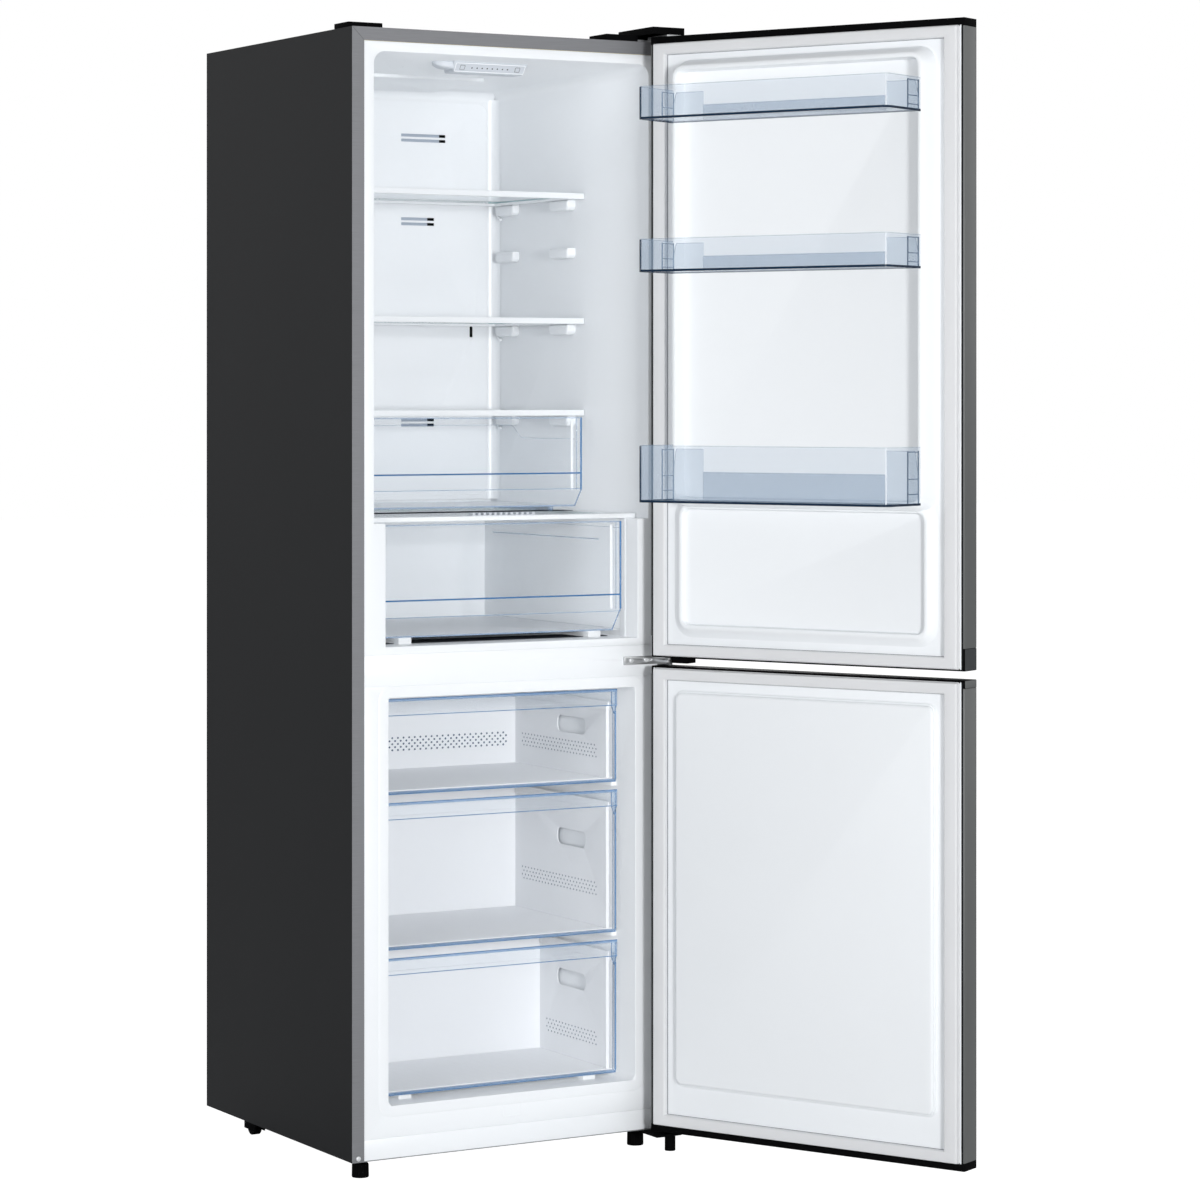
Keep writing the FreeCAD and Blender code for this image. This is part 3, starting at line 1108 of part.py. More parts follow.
def write_parts():
    """Checks every object of the document, then writes each sub-part to its own file."""
    doc.recompute()
    failed = [item.Name for item in doc.Objects if {"Invalid", "Error"} & set(item.State)]
    failed += [item.Label for item in NODES if item.Shape.isNull() or not item.Shape.isValid()]
    if failed:
        raise RuntimeError(f"objects that failed: {failed}")
    os.makedirs("parts", exist_ok=True)
    for item in NODES:
        item.Shape.exportStep(f"parts/{item.Label}.step")
        print(f"{item.Label}: {len(item.Shape.Solids)} solids, {item.Shape.Volume / 1000:.1f} cm3")
    print(f"{len(NODES)} sub-parts")


shanks = make_screws()
make_case(shanks)
fridge_space = make_liners(shanks)
make_cooling()
make_duct_cover()
make_panel(fridge_space)
make_feet()
make_hinges(shanks)
make_shelves()
make_drawers()
make_doors()
write_parts()
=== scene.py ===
"""Looks of a fridge freezer with both doors open, laid out as an add-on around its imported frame."""

import json
import math

import bmesh
import bpy
import numpy as np
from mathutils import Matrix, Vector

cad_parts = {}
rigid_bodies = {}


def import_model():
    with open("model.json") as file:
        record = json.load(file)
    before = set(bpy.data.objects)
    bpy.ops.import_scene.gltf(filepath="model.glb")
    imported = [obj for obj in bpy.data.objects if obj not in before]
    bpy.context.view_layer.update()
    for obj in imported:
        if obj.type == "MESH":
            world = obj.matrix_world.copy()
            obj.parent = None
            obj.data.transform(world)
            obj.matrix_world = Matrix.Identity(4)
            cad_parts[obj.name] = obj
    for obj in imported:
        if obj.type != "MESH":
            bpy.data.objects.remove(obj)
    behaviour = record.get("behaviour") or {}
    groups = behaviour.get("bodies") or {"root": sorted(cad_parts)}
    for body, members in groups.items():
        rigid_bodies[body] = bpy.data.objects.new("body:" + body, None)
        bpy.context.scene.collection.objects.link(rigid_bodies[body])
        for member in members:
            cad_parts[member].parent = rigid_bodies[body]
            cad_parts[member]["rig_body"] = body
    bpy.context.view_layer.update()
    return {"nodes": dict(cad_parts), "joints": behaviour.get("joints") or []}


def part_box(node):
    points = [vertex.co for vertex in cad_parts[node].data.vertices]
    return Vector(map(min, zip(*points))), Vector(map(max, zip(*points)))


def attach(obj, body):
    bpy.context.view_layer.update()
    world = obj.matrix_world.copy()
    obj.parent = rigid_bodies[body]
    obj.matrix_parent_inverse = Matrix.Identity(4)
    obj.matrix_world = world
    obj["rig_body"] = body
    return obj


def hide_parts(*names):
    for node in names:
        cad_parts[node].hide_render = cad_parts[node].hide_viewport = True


bl_info = {
    "name": "Fridge Freezer Looks",
    "version": (1, 0, 0),
    "blender": (4, 5, 0),
    "location": "View3D > Sidebar > Fridge",
    "description": "Builds the finishes and fine forms of a fridge freezer on its fixed frame",
    "category": "Object",
}

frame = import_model()
NODES = frame["nodes"]
HINGE = {joint["name"]: joint for joint in frame["joints"]}["fridge_door_hinge"]
HINGE_X, HINGE_Y = HINGE["pos_m"][0], HINGE["pos_m"][1]
DOOR_ANGLE = -math.radians(HINGE["range_deg"][0])
MM = 0.001
SIDES = (1, -1)
# Attribute that marks the edges of clear plastic, and the slots whose pieces are clear.
MARK, CLEAR_SLOTS = "rim_mark", ("clear_plastic", "shelf_glass")
# Steps on a quarter circle of an outline and of an edge, and an outline's least radius and half width.
CORNER_STEPS, EDGE_STEPS, LEAST_RADIUS, LEAST_HALF = 7, 4, 0.05 * MM, 0.06 * MM
# The largest share of a plate's thickness that one rounded edge takes, and a bevel's width over its depth.
EDGE_SHARE, DRAW_SHARE = 0.49, 1.5
# Height of the marked strip along the rim and the foot of a clear wall.
GUARD = 1.2 * MM
# Rounding of thin bars and ribs, and the form of small dots.
BAR_CORNER, BAR_EDGE, DOT_SIDES, DOT_TOP_SHARE = 0.4 * MM, 0.3 * MM, 8, 0.6
# Edges above the sharp angle look sharp; softened copies round those above the round angle.
SHARP_ANGLE, ROUND_ANGLE, FLAT_ANGLE = math.radians(40), math.radians(28), math.radians(1)
MERGE, BEVEL_SEGMENTS = 0.01 * MM, 2


def linear(red, green, blue):
    """Linear light of a colour that is written in 0 to 255 screen steps."""
    steps = np.array([red, green, blue]) / 255
    return tuple(np.where(steps <= 0.04045, steps / 12.92, ((steps + 0.055) / 1.055) ** 2.4))


def dimmed(tint, share):
    return tuple(part * share for part in tint)


def length(title, text, default):
    return bpy.props.FloatProperty(name=title, description=text, default=default, min=0.0,
                                   unit="LENGTH", subtype="DISTANCE")


def number(title, text, default):
    return bpy.props.FloatProperty(name=title, description=text, default=default)


def colour(title, text, default):
    return bpy.props.FloatVectorProperty(name=title, description=text, default=linear(*default), size=3,
                                         min=0.0, max=1.0, subtype="COLOR")


class FinishSettings(bpy.types.PropertyGroup):
    """Colours of the fridge freezer's finishes."""
    case: colour("Case paint", "Charcoal paint of the sides and top", (29, 30, 32))
    flange: colour("Front flange", "Grey coated front edge of the case", (129, 130, 133))
    door: colour("Door steel", "Brushed steel of the door skins", (100, 102, 102))
    liner: colour("Liner", "White moulded inside", (244, 247, 250))
    seal: colour("Door seal", "Soft grey door seals", (222, 223, 225))
    black: colour("Black plastic", "Caps, covers and feet", (9, 9, 10))
    steel: colour("Hinge steel", "Zinc plated hinge plates and screws", (178, 180, 182))
    sheet: colour("Back sheet", "Galvanised back and base", (150, 153, 155))
    clear: colour("Clear plastic", "Tint of the drawer and bin walls", (178, 204, 232))
    edge: colour("Clear plastic edge", "Tint along the edges of clear plastic", (52, 110, 164))
    frost: colour("Freezer tub", "White of the freezer tubs", (247, 249, 252))
    glass: colour("Shelf glass", "Tint of the glass shelves", (205, 226, 228))
    console: colour("Console", "Grey of the ceiling control panel", (206, 211, 218))


class FormSettings(bpy.types.PropertyGroup):
    """Sizes of the fine forms that are added to the frame's solids."""
    plastic_edge: length("Plastic edge", "Rounding on moulded caps and covers", 1.4 * MM)
    sheet_edge: length("Sheet edge", "Rounding on folded sheet steel", 0.35 * MM)
    liner_edge: length("Liner edge", "Rounding on the liner's own edges", 0.9 * MM)
    cove: length("Cove", "Radius of the upright inner corners", 18 * MM)
    bead: length("Bead", "Height of the bead around the freezer opening", 0.6 * MM)
    bead_width: length("Bead width", "Width of the bead around the freezer opening", 18 * MM)
    pad_edge: length("Pad edge", "Rounding at the top of the door liner pads", 7 * MM)
    rib: length("Rib", "Height of the moulded ribs", 1.2 * MM)


class StageSettings(bpy.types.PropertyGroup):
    """Camera and lamps."""
    lens: number("Lens", "Focal length in millimetres", 111.9)
    shift: number("Shift", "Upright shift of the picture", -0.1713)
    turn: bpy.props.FloatProperty(name="Turn", description="Turn of the camera about the upright axis",
                                  default=math.radians(-30.2), unit="ROTATION", subtype="ANGLE")
    place: bpy.props.FloatVectorProperty(name="Camera place", description="Where the camera stands",
                                         default=(-2.9705, -5.3850, 1.2701), subtype="TRANSLATION",
                                         unit="LENGTH")
    ambient: number("Ambient", "Strength of the even light", 0.28)
    key: number("Key lamp", "Power of the front lamp in watts", 233.0)
    side: number("Side lamp", "Power of the left lamp in watts", 83.0)
    rear: number("Rear lamp", "Power of the lamp behind, in watts", 110.0)


class Value:
    """A shader value: a socket whose sums and products are written as Python expressions."""

    def __init__(self, shade, socket):
        self.shade = shade
        self.socket = socket

    def sum_of(self, operation, first, second=0.0):
        return self.shade.add("ShaderNodeMath", {"operation": operation}, {0: first, 1: second})

    def __add__(self, other):
        return self.sum_of("ADD", self, other)

    __radd__ = __add__

    def __sub__(self, other):
        return self.sum_of("SUBTRACT", self, other)

    def __rsub__(self, other):
        return self.sum_of("SUBTRACT", other, self)

    def __mul__(self, other):
        return self.sum_of("MULTIPLY", self, other)

    __rmul__ = __mul__

    def __lt__(self, other):
        return self.sum_of("LESS_THAN", self, other)

    def __gt__(self, other):
        return self.sum_of("GREATER_THAN", self, other)

    def __abs__(self):
        return self.sum_of("ABSOLUTE", self)

    def least(self, other):
        return self.sum_of("MINIMUM", self, other)


class Shade:
    """A material, or a world, whose nodes are added by one method."""

    def __init__(self, name, world=None):
        self.holder = world or bpy.data.materials.new(name)
        self.holder.use_nodes = True
        self.tree = self.holder.node_tree
        self.tree.nodes.clear()
        self.out = self.tree.nodes.new("ShaderNodeOutputWorld" if world else "ShaderNodeOutputMaterial")

    def add(self, kind, settings=None, sockets=None, give=0):
        """A node of that kind with its settings, then its sockets' values or links; gives one output."""
        node = self.tree.nodes.new(kind)
        for word, setting in (settings or {}).items():
            setattr(node, word, setting)
        for word, value in (sockets or {}).items():
            socket = node.inputs[word]
            if isinstance(value, Value):
                self.tree.links.new(value.socket, socket)
            elif hasattr(socket.default_value, "__len__") and len(value) < len(socket.default_value):
                socket.default_value = (*value, 1.0)
            else:
                socket.default_value = value
        return Value(self, node.outputs[give])

    def place(self):
        """The point and its three coordinates, in metres in the object's frame."""
        spot = self.add("ShaderNodeTexCoord", give="Object")
        return spot, [self.add("ShaderNodeSeparateXYZ", None, {0: spot}, give) for give in range(3)]

    def noise(self, spot, scale, detail=2.0, stretch=(1.0, 1.0, 1.0)):
        moved = self.add("ShaderNodeMapping", None, {"Vector": spot, "Scale": stretch})
        return self.add("ShaderNodeTexNoise", None, {"Vector": moved, "Scale": scale, "Detail": detail})

    def cells(self, spot, scale, give):
        return self.add("ShaderNodeTexVoronoi", None, {"Vector": spot, "Scale": scale}, give)

    def mix(self, share, first, second):
        """A colour between two, by a share."""
        return self.add("ShaderNodeMix", {"data_type": "RGBA"}, {0: share, 6: first, 7: second}, 2)

    def tones(self, share, tint, dark, light):
        """A tint between its dark and its light tone, by a share."""
        return self.mix(share, dimmed(tint, dark), dimmed(tint, light))

    def bump(self, height, strength, reach):
        return self.add("ShaderNodeBump", None, {"Height": height, "Strength": strength, "Distance": reach})

    def surface(self, **sockets):
        named = {word.replace("_", " "): value for word, value in sockets.items()}
        return self.add("ShaderNodeBsdfPrincipled", None, named)

    def close(self, shader):
        self.tree.links.new(shader.socket, self.out.inputs["Surface"])
        return self.holder


def case_paint(finish):
    """Charcoal paint with a fine orange peel, grey on the front flange, with the flange's mitre seams."""
    seam, flange_depth = 0.35 * MM, 0.5 * MM
    shade = Shade("charcoal_case_paint")
    spot, (x, y, z) = shade.place()
    grain = shade.noise(spot, scale=1300, detail=3)
    cloud = shade.noise(spot, scale=3.5)
    paint = shade.tones(grain * 0.5 + cloud * 0.5, finish.case, dark=0.78, light=1.22)
    brushed = shade.noise(spot, scale=900, stretch=(0.02, 1.0, 1.0))
    coated = shade.tones(brushed, finish.flange, dark=0.86, light=1.14)
    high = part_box("outer_case")[1]
    mitre = abs((high[2] - z) - (high[0] - abs(x))) < seam
    front = y < flange_depth
    tint = shade.mix(front, paint, shade.mix(mitre, coated, dimmed(finish.flange, 0.25)))
    return shade.close(shade.surface(
        Base_Color=tint, Roughness=0.46 + grain * 0.16 - front * 0.1, Metallic=front * 0.35,
        Specular_IOR_Level=0.12, Normal=shade.bump(grain, strength=0.08, reach=0.3 * MM)))


def brushed_steel(name, tint, stretch, metal, rough):
    """Steel with hairlines along one axis: noise squeezed across it drives colour and roughness."""
    shade = Shade(name)
    spot, _ = shade.place()
    lines = shade.noise(spot, scale=1500, detail=3, stretch=stretch)
    cloud = shade.noise(spot, scale=6)
    base = shade.tones(lines * 0.7 + cloud * 0.3, tint, dark=0.8, light=1.2)
    return shade.close(shade.surface(Base_Color=base, Metallic=metal, Roughness=rough + lines * 0.15,
                                     Normal=shade.bump(lines, strength=0.05, reach=0.2 * MM)))


def galvanised(finish):
    """Zinc spangle: cells of slightly different grey with their own roughness."""
    shade = Shade("galvanised_sheet")
    spot, _ = shade.place()
    spangle = shade.cells(spot, 90.0, "Color")
    grey = shade.add("ShaderNodeSeparateColor", None, {0: spangle}, 0)
    fine = shade.noise(spot, scale=700)
    base = shade.tones(grey * 0.7 + fine * 0.3, finish.sheet, dark=0.82, light=1.15)
    return shade.close(shade.surface(Base_Color=base, Metallic=0.55, Roughness=0.34 + grey * 0.18))


def moulded(name, tint, rough, grain_scale, grain, spread, gloss):
    """Moulded plastic: a fine texture in the bump, and slow changes of tone and gloss."""
    shade = Shade(name)
    spot, _ = shade.place()
    fine = shade.noise(spot, grain_scale)
    slow = shade.noise(spot, scale=7, detail=3)
    base = shade.tones(slow * 0.7 + fine * 0.3, tint, 1 - spread, 1 + spread)
    return shade.close(shade.surface(
        Base_Color=base, Roughness=rough + slow * 0.08 + fine * 0.04, Specular_IOR_Level=gloss,
        Normal=shade.bump(fine, strength=grain, reach=0.3 * MM)))


def foam_finish():
    """Cut polyurethane foam: small cells in colour and bump."""
    shade = Shade("insulating_foam")
    spot, _ = shade.place()
    pores = shade.cells(spot, 420.0, "Distance")
    base = shade.mix(pores, linear(222, 205, 150), linear(246, 236, 198))
    return shade.close(shade.surface(Base_Color=base, Roughness=0.9,
                                     Normal=shade.bump(pores, strength=0.5, reach=MM)))


def clear_finish(name, wall, edge, film, rim, gloss=0.5):
    """Clear moulding: mostly see-through walls that tint and gloss at grazing angles, and marked edges
    that gather colour, because light runs along inside the wall and leaves there."""
    shade = Shade(name)
    spot, _ = shade.place()
    mark = shade.add("ShaderNodeAttribute", {"attribute_name": MARK}, None, "Fac")
    slow = shade.noise(spot, scale=9)
    graze = shade.add("ShaderNodeLayerWeight", None, {"Blend": 0.15}, "Facing")
    tint = shade.mix(mark, wall, edge)
    body = shade.surface(Base_Color=tint, Roughness=0.06 + slow * 0.05, Specular_IOR_Level=gloss)
    through = shade.add("ShaderNodeBsdfTransparent", None, {"Color": (0.995, 0.998, 1.0)})
    cover = (film + slow * 0.008 + mark * rim + graze * 0.12).least(0.97)
    return shade.close(shade.add("ShaderNodeMixShader", None, {0: cover, 1: through, 2: body}))


class Finishes:
    """Every material of the part, made once from the finish settings."""

    def __init__(self, finish):
        self.case = case_paint(finish)
        self.sheet = galvanised(finish)
        self.foam = foam_finish()
        for word, name, tint, stretch, metal, rough in (
                ("door", "door_brushed_steel", finish.door, (1.0, 1.0, 0.01), 0.35, 0.36),
                ("steel", "hinge_zinc_steel", finish.steel, (0.05, 1.0, 1.0), 0.8, 0.3),
                ("coil", "coil_aluminium", linear(200, 202, 204), (1.0, 1.0, 0.1), 0.9, 0.35),
                ("screw", "screw_steel", linear(222, 224, 226), (1.0, 1.0, 1.0), 0.5, 0.3)):
            setattr(self, word, brushed_steel(name, tint, stretch, metal, rough))
        for word, name, tint, rough, grain_scale, grain, spread, gloss in (
                ("liner", "white_liner", finish.liner, 0.24, 260, 0.02, 0.012, 0.5),
                ("pad", "liner_pad", dimmed(finish.liner, 0.96), 0.4, 420, 0.08, 0.012, 0.5),
                ("frost", "frosted_plastic", finish.frost, 0.34, 700, 0.03, 0.015, 0.5),
                ("seal", "grey_seal", finish.seal, 0.5, 900, 0.1, 0.04, 0.5),
                # Seal line: a grey that paints the shadow in the gap between seal and liner.
                ("seal_line", "seal_line", linear(120, 122, 128), 0.6, 900, 0.1, 0.1, 0.1),
                ("black", "black_plastic", finish.black, 0.6, 1500, 0.25, 0.2, 0.02),
                ("rubber", "black_rubber", dimmed(finish.black, 0.8), 0.7, 1800, 0.4, 0.25, 0.07),
                ("pot", "black_pot_paint", dimmed(finish.black, 0.9), 0.3, 500, 0.1, 0.2, 0.3),
                ("cap_end", "cap_end_grey", linear(64, 66, 68), 0.6, 1300, 0.3, 0.2, 0.1),
                ("console", "console_grey", finish.console, 0.32, 900, 0.06, 0.03, 0.5),
                ("print", "console_print", linear(60, 66, 76), 0.5, 900, 0.02, 0.05, 0.5),
                # Slot shadow: a near black that paints the shade in slots and gaps.
                ("slot_dark", "slot_shadow", linear(14, 15, 18), 0.6, 900, 0.1, 0.1, 0.1),
                ("slot_fin", "slot_louvre", linear(176, 186, 200), 0.5, 900, 0.1, 0.05, 0.2),
                # Air holes: a dark blue grey, the painted shade seen through the holes.
                ("hole", "air_hole_shadow", linear(70, 88, 116), 0.7, 900, 0.1, 0.1, 0.1),
                # Dark grey strips: painted shadow under the drawers.
                ("strip", "dark_strip", linear(62, 66, 74), 0.6, 900, 0.1, 0.2, 0.05)):
            setattr(self, word, moulded(name, tint, rough, grain_scale, grain, spread, gloss))
        self.clear = clear_finish("clear_plastic", finish.clear, finish.edge, film=0.002, rim=0.85)
        self.bin = clear_finish("clear_bin_plastic", dimmed(finish.clear, 0.72), dimmed(finish.edge, 0.12),
                                film=0.12, rim=0.9, gloss=0.15)
        self.glass = clear_finish("shelf_glass", finish.glass, linear(150, 196, 200), film=0.03, rim=0.55)


made = {}


def finishes():
    """The material set of this run."""
    if "finishes" not in made:
        made["finishes"] = Finishes(bpy.context.scene.fridge_finish)
    return made["finishes"]


def form():
    return bpy.context.scene.fridge_form


def inner(span, step):
    """A span drawn in by a step at both ends."""
    return span[0] + step, span[1] - step


def about(middle, half):
    """The span about a middle."""
    return middle - half, middle + half


def counted(start, span):
    """A span counted from a start."""
    return start + span[0], start + span[1]


def beside(sign, near, far):
    """The span between two distances from the middle plane, on the side of the sign."""
    return sorted((sign * near, sign * far))


def smooth(share):
    """An even S-curve from 0 to 1."""
    share = np.clip(share, 0, 1)
    return share ** 2 * (3 - 2 * share)


def quarter(steps):
    """Angles of a quarter turn."""
    return np.linspace(0, np.pi / 2, steps)


def circle(steps):
    """Points round a circle of radius 1."""
    turn = np.linspace(0, 2 * np.pi, steps, endpoint=False)
    return np.stack([np.cos(turn), np.sin(turn)], -1)


def turned(points, angle):
    """Points turned by an angle about the upright axis of the door hinge."""
    cosine, sine = math.cos(angle), math.sin(angle)
    x, y = points[:, 0] - HINGE_X, points[:, 1] - HINGE_Y
    return np.stack([HINGE_X + x * cosine - y * sine, HINGE_Y + x * sine + y * cosine, points[:, 2]], -1)


def ring(a, b, radius, inset=0.0):
    """Rounded rectangles over the spans a and b, moved in by each inset, counter-clockwise: four quarter
    circles about corner centres, whose radius shrinks with the inset. Gives rows of points, one per inset."""
    inset = np.atleast_1d(np.asarray(inset, float))[:, None, None]
    corner = np.asarray(radius, float) * np.ones(4)
    half = min(a[1] - a[0], b[1] - b[0]) / 2
    most = np.maximum(half - inset, LEAST_HALF)
    bend = np.clip(corner[None, :, None] - inset, LEAST_RADIUS, most)
    angle = np.arange(4)[:, None] * np.pi / 2 + quarter(CORNER_STEPS)[None, :]
    right = np.array([1, 0, 0, 1])[None, :, None]
    upper = np.array([1, 1, 0, 0])[None, :, None]
    middle_a = np.where(right, a[1] - inset - bend, a[0] + inset + bend)
    middle_b = np.where(upper, b[1] - inset - bend, b[0] + inset + bend)
    points = np.stack([middle_a + bend * np.cos(angle), middle_b + bend * np.sin(angle)], -1)
    return points.reshape(len(inset), -1, 2)


def u_path(a, b, radius, stations=()):
    """A path up one side of a rectangle, round its far end and down the other side: two straight sides, with
    points at the stations, joined by two quarter circles."""
    turn = quarter(CORNER_STEPS)
    first = np.stack([a[1] - radius + radius * np.cos(turn), b[1] - radius + radius * np.sin(turn)], -1)
    second = np.stack([a[0] + radius - radius * np.sin(turn), b[1] - radius + radius * np.cos(turn)], -1)
    run = np.array([b[0], *stations])
    up = np.stack([np.full(len(run), a[1]), run], -1)
    down = np.stack([np.full(len(run), a[0]), run[::-1]], -1)
    return np.concatenate([up, first, second, down])


def stand(points, height, axis):
    """Rings of flat points lifted to their heights along an axis, keeping the turning sense."""
    height = np.broadcast_to(np.asarray(height, float)[:, None], points.shape[:2])
    a, b = points[..., 0], points[..., 1]
    order = {"z": (a, b, height), "y": (b, height, a), "-y": (a, -height, b), "x": (height, a, b),
             "-x": (-height, b, a)}
    return np.stack(order[axis], -1)


class Shell:
    """Vertices, faces and edge marks of one piece, gathered as whole arrays."""

    def __init__(self):
        self.points, self.faces, self.marks, self.count = [], [], [], 0

    def take(self, points, faces, mark):
        """Adds points with their faces and marks."""
        points = np.asarray(points, float).reshape(-1, 3)
        self.points.append(points)
        self.marks.append(np.broadcast_to(np.asarray(mark, float).reshape(-1), (len(points),)))
        self.faces += [tuple(face) for face in (faces + self.count).tolist()]
        self.count += len(points)

    def loft(self, rings, mark=0.0, caps=True, loop=False, wrap=True):
        """Quads between neighbouring rings: ring k, point i joins ring k + 1, point i + 1. Caps close the
        first and the last ring, a loop joins the last ring to the first, and wrap closes each ring."""
        rows, across = rings.shape[:2]
        index = np.arange(rows * across).reshape(rows, across)
        if loop:
            index = np.concatenate([index, index[:1]])
        if wrap:
            index = np.concatenate([index, index[:, :1]], 1)
        quads = np.stack([index[:-1, :-1], index[:-1, 1:], index[1:, 1:], index[1:, :-1]], -1).reshape(-1, 4)
        mark = np.asarray(mark, float)
        marks = np.broadcast_to(mark if mark.ndim == 2 else mark.reshape(-1, 1), (rows, across))
        first = self.count + np.arange(across)
        self.take(rings, quads, marks)
        if caps and not loop:
            self.faces.append(tuple(first[::-1].tolist()))
            self.faces.append(tuple((first + (rows - 1) * across).tolist()))
        return self

    def sheet(self, rows, mark=0.0):
        """An open sheet through rows of points."""
        return self.loft(rows, mark, caps=False, wrap=False)

    def carry(self, a, b, radius, profile, axis, mark=0.0, loop=False):
        """A profile of insets and heights carried round a rounded rectangle, and capped at its ends or closed
        in a loop."""
        profile = np.asarray(profile, float)
        return self.loft(stand(ring(a, b, radius, profile[:, 0]), profile[:, 1], axis), mark, loop=loop)

    def slab(self, a, b, radius, span, edge, axis, mark=0.0, rim=None):
        """A plate over the spans a and b from span[0] to span[1] along the axis, with rounded outlines and
        edges rounded by quarter circles, and with a mark on its faces and another on its rim."""
        low, high = span
        edge = min(edge, (high - low) * EDGE_SHARE)
        turn = quarter(EDGE_STEPS)
        far, near = edge * (1 - np.sin(turn)), edge * (1 - np.cos(turn))
        profile = np.concatenate([np.stack([far, low + near], -1), np.stack([near, high - far], -1)])
        marks = mark if rim is None else np.array([mark, *[rim] * (len(profile) - 2), mark])
        return self.carry(a, b, radius, profile, axis, marks)

    def bars(self, rows, span):
        """Thin bars on a front: each row gives two spans and a mark."""
        for a, b, mark in rows:
            self.slab(a, b, BAR_CORNER, span, BAR_EDGE, "-y", mark)
        return self

    def lathe(self, centre, profile, axis, around, mark=0.0):
        """A profile of radii and heights turned about an axis through the centre."""
        profile = np.asarray(profile, float)
        flat = profile[:, :1, None] * circle(around)[None]
        return self.loft(stand(flat, profile[:, 1], axis) + np.asarray(centre, float), mark)

    def plate(self, outline, span, edge, axis, mark=0.0, rim=1.0):
        """A flat plate with a convex outline: the outline drawn in towards its middle at both faces, so that
        the edges are bevelled."""
        outline = np.asarray(outline, float)
        away = outline.mean(0) - outline
        drawn = outline + away / np.linalg.norm(away, axis=1)[:, None] * edge * DRAW_SHARE
        rows = np.stack([drawn, outline, outline, drawn])
        heights = np.array([span[0], span[0] + edge, span[1] - edge, span[1]])
        return self.loft(stand(rows, heights, axis), np.array([mark, rim, rim, mark]))

    def fence(self, path, wall, low, high, rim, foot, body=0.0):
        """An upright wall along a path: at each path point a closed section stands across it, from the path
        to the wall's thickness on the path's left, between the low and the high levels. Marks are given for
        the rim, the foot and the body between them."""
        path = np.asarray(path, float)
        along = np.gradient(path, axis=0)
        along /= np.linalg.norm(along, axis=1)[:, None]
        left = np.stack([-along[:, 1], along[:, 0]], -1)
        low, high = (np.broadcast_to(np.asarray(level, float), len(path)) for level in (low, high))
        side = np.array([0, 1, 1, 1, 1, 0, 0, 0]) * wall
        level = np.stack([low, low, low + GUARD, high - GUARD, high, high, high - GUARD, low + GUARD], -1)
        flat = path[:, None, :] + left[:, None, :] * side[None, :, None]
        marks = np.broadcast_to(np.array([foot, foot, body, body, rim, rim, body, body], float), level.shape)
        return self.loft(np.concatenate([flat, level[..., None]], -1), marks)

    def curtain(self, path, low, high, rim, foot):
        """A wall without thickness along a path, between two levels, marked along its rim and its foot."""
        path = np.asarray(path, float)
        low, high = (np.broadcast_to(np.asarray(level, float), len(path)) for level in (low, high))
        level = np.stack([low, low + GUARD, high - GUARD, high])
        flat = np.broadcast_to(path, (len(level), *path.shape))
        return self.sheet(np.concatenate([flat, level[..., None]], -1), np.array([foot, 0, 0, rim]))

    def dots(self, centres, radius, depth, axis):
        """Small raised dots: a ring and a smaller flat top, repeated at each centre."""
        flat = circle(DOT_SIDES)[None] * np.array([radius, radius * DOT_TOP_SHARE])[:, None, None]
        template = stand(flat, np.array([0.0, depth]), axis).reshape(-1, 3)
        index = np.arange(DOT_SIDES)
        following = (index + 1) % DOT_SIDES
        sides = np.stack([index, following, following + DOT_SIDES, index + DOT_SIDES], -1)
        centres = np.asarray(centres, float).reshape(-1, 3)
        first = np.arange(len(centres)) * len(template)
        tops = self.count + first[:, None] + DOT_SIDES + index[None]
        faces = (sides[None] + first[:, None, None]).reshape(-1, 4)
        self.take(centres[:, None, :] + template[None], faces, 0.0)
        self.faces += [tuple(face) for face in tops.tolist()]
        return self

    def swing(self):
        """Turns all points from the shut door to its open place about the hinge axis."""
        self.points = [turned(points, DOOR_ANGLE) for points in self.points]
        return self

    def press(self, middle, share):
        """Squeezes all points towards a level by a share."""
        self.points = [points * [1, 1, share] + [0, 0, middle * (1 - share)] for points in self.points]
        return self

    def lean(self, slope):
        """Shears all points: the height grows by the slope times the depth."""
        self.points = [points + np.outer(slope * points[:, 1], [0, 0, 1]) for points in self.points]
        return self

    def lay(self, origin, across, up):
        """Lays points drawn flat on a sloping face: the first two coordinates run across and up the face from
        its origin, the third stands out of it."""
        across, up = np.asarray(across, float), np.asarray(up, float)
        axes = np.stack([across, up, np.cross(across, up)])
        self.points = [points @ axes + np.asarray(origin, float) for points in self.points]
        return self

    def piece(self, name, body, material, slot, replaces=(), sheet=False):
        """Makes the object and lets it ride on its body. Faces are turned outwards, but for open sheets.
        Clear pieces let lamp light and bounced light by."""
        mesh = bpy.data.meshes.new(name)
        mesh.from_pydata(np.concatenate(self.points).tolist(), [], self.faces)
        if not sheet:
            work = bmesh.new()
            work.from_mesh(mesh)
            bmesh.ops.recalc_face_normals(work, faces=work.faces)
            work.to_mesh(mesh)
            work.free()
        marks = mesh.attributes.new(MARK, "FLOAT", "POINT")
        marks.data.foreach_set("value", np.concatenate(self.marks).astype(np.float32))
        item = placed(name, mesh, material)
        item.visible_diffuse = item.visible_shadow = slot not in CLEAR_SLOTS
        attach(item, body)
        if replaces:
            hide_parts(*replaces)
        return item


def placed(name, mesh, material):
    """An object of the mesh with its finish, smooth but for edges above the sharp angle."""
    mesh.polygons.foreach_set("use_smooth", np.ones(len(mesh.polygons), bool))
    mesh.set_sharp_from_angle(angle=SHARP_ANGLE)
    mesh.materials.append(material)
    item = bpy.data.objects.new(name, mesh)
    bpy.context.scene.collection.objects.link(item)
    return item


def dress(material, *names):
    """Gives frame nodes that keep their shape a finish."""
    for name in names:
        NODES[name].data.materials.clear()
        NODES[name].data.materials.append(material)


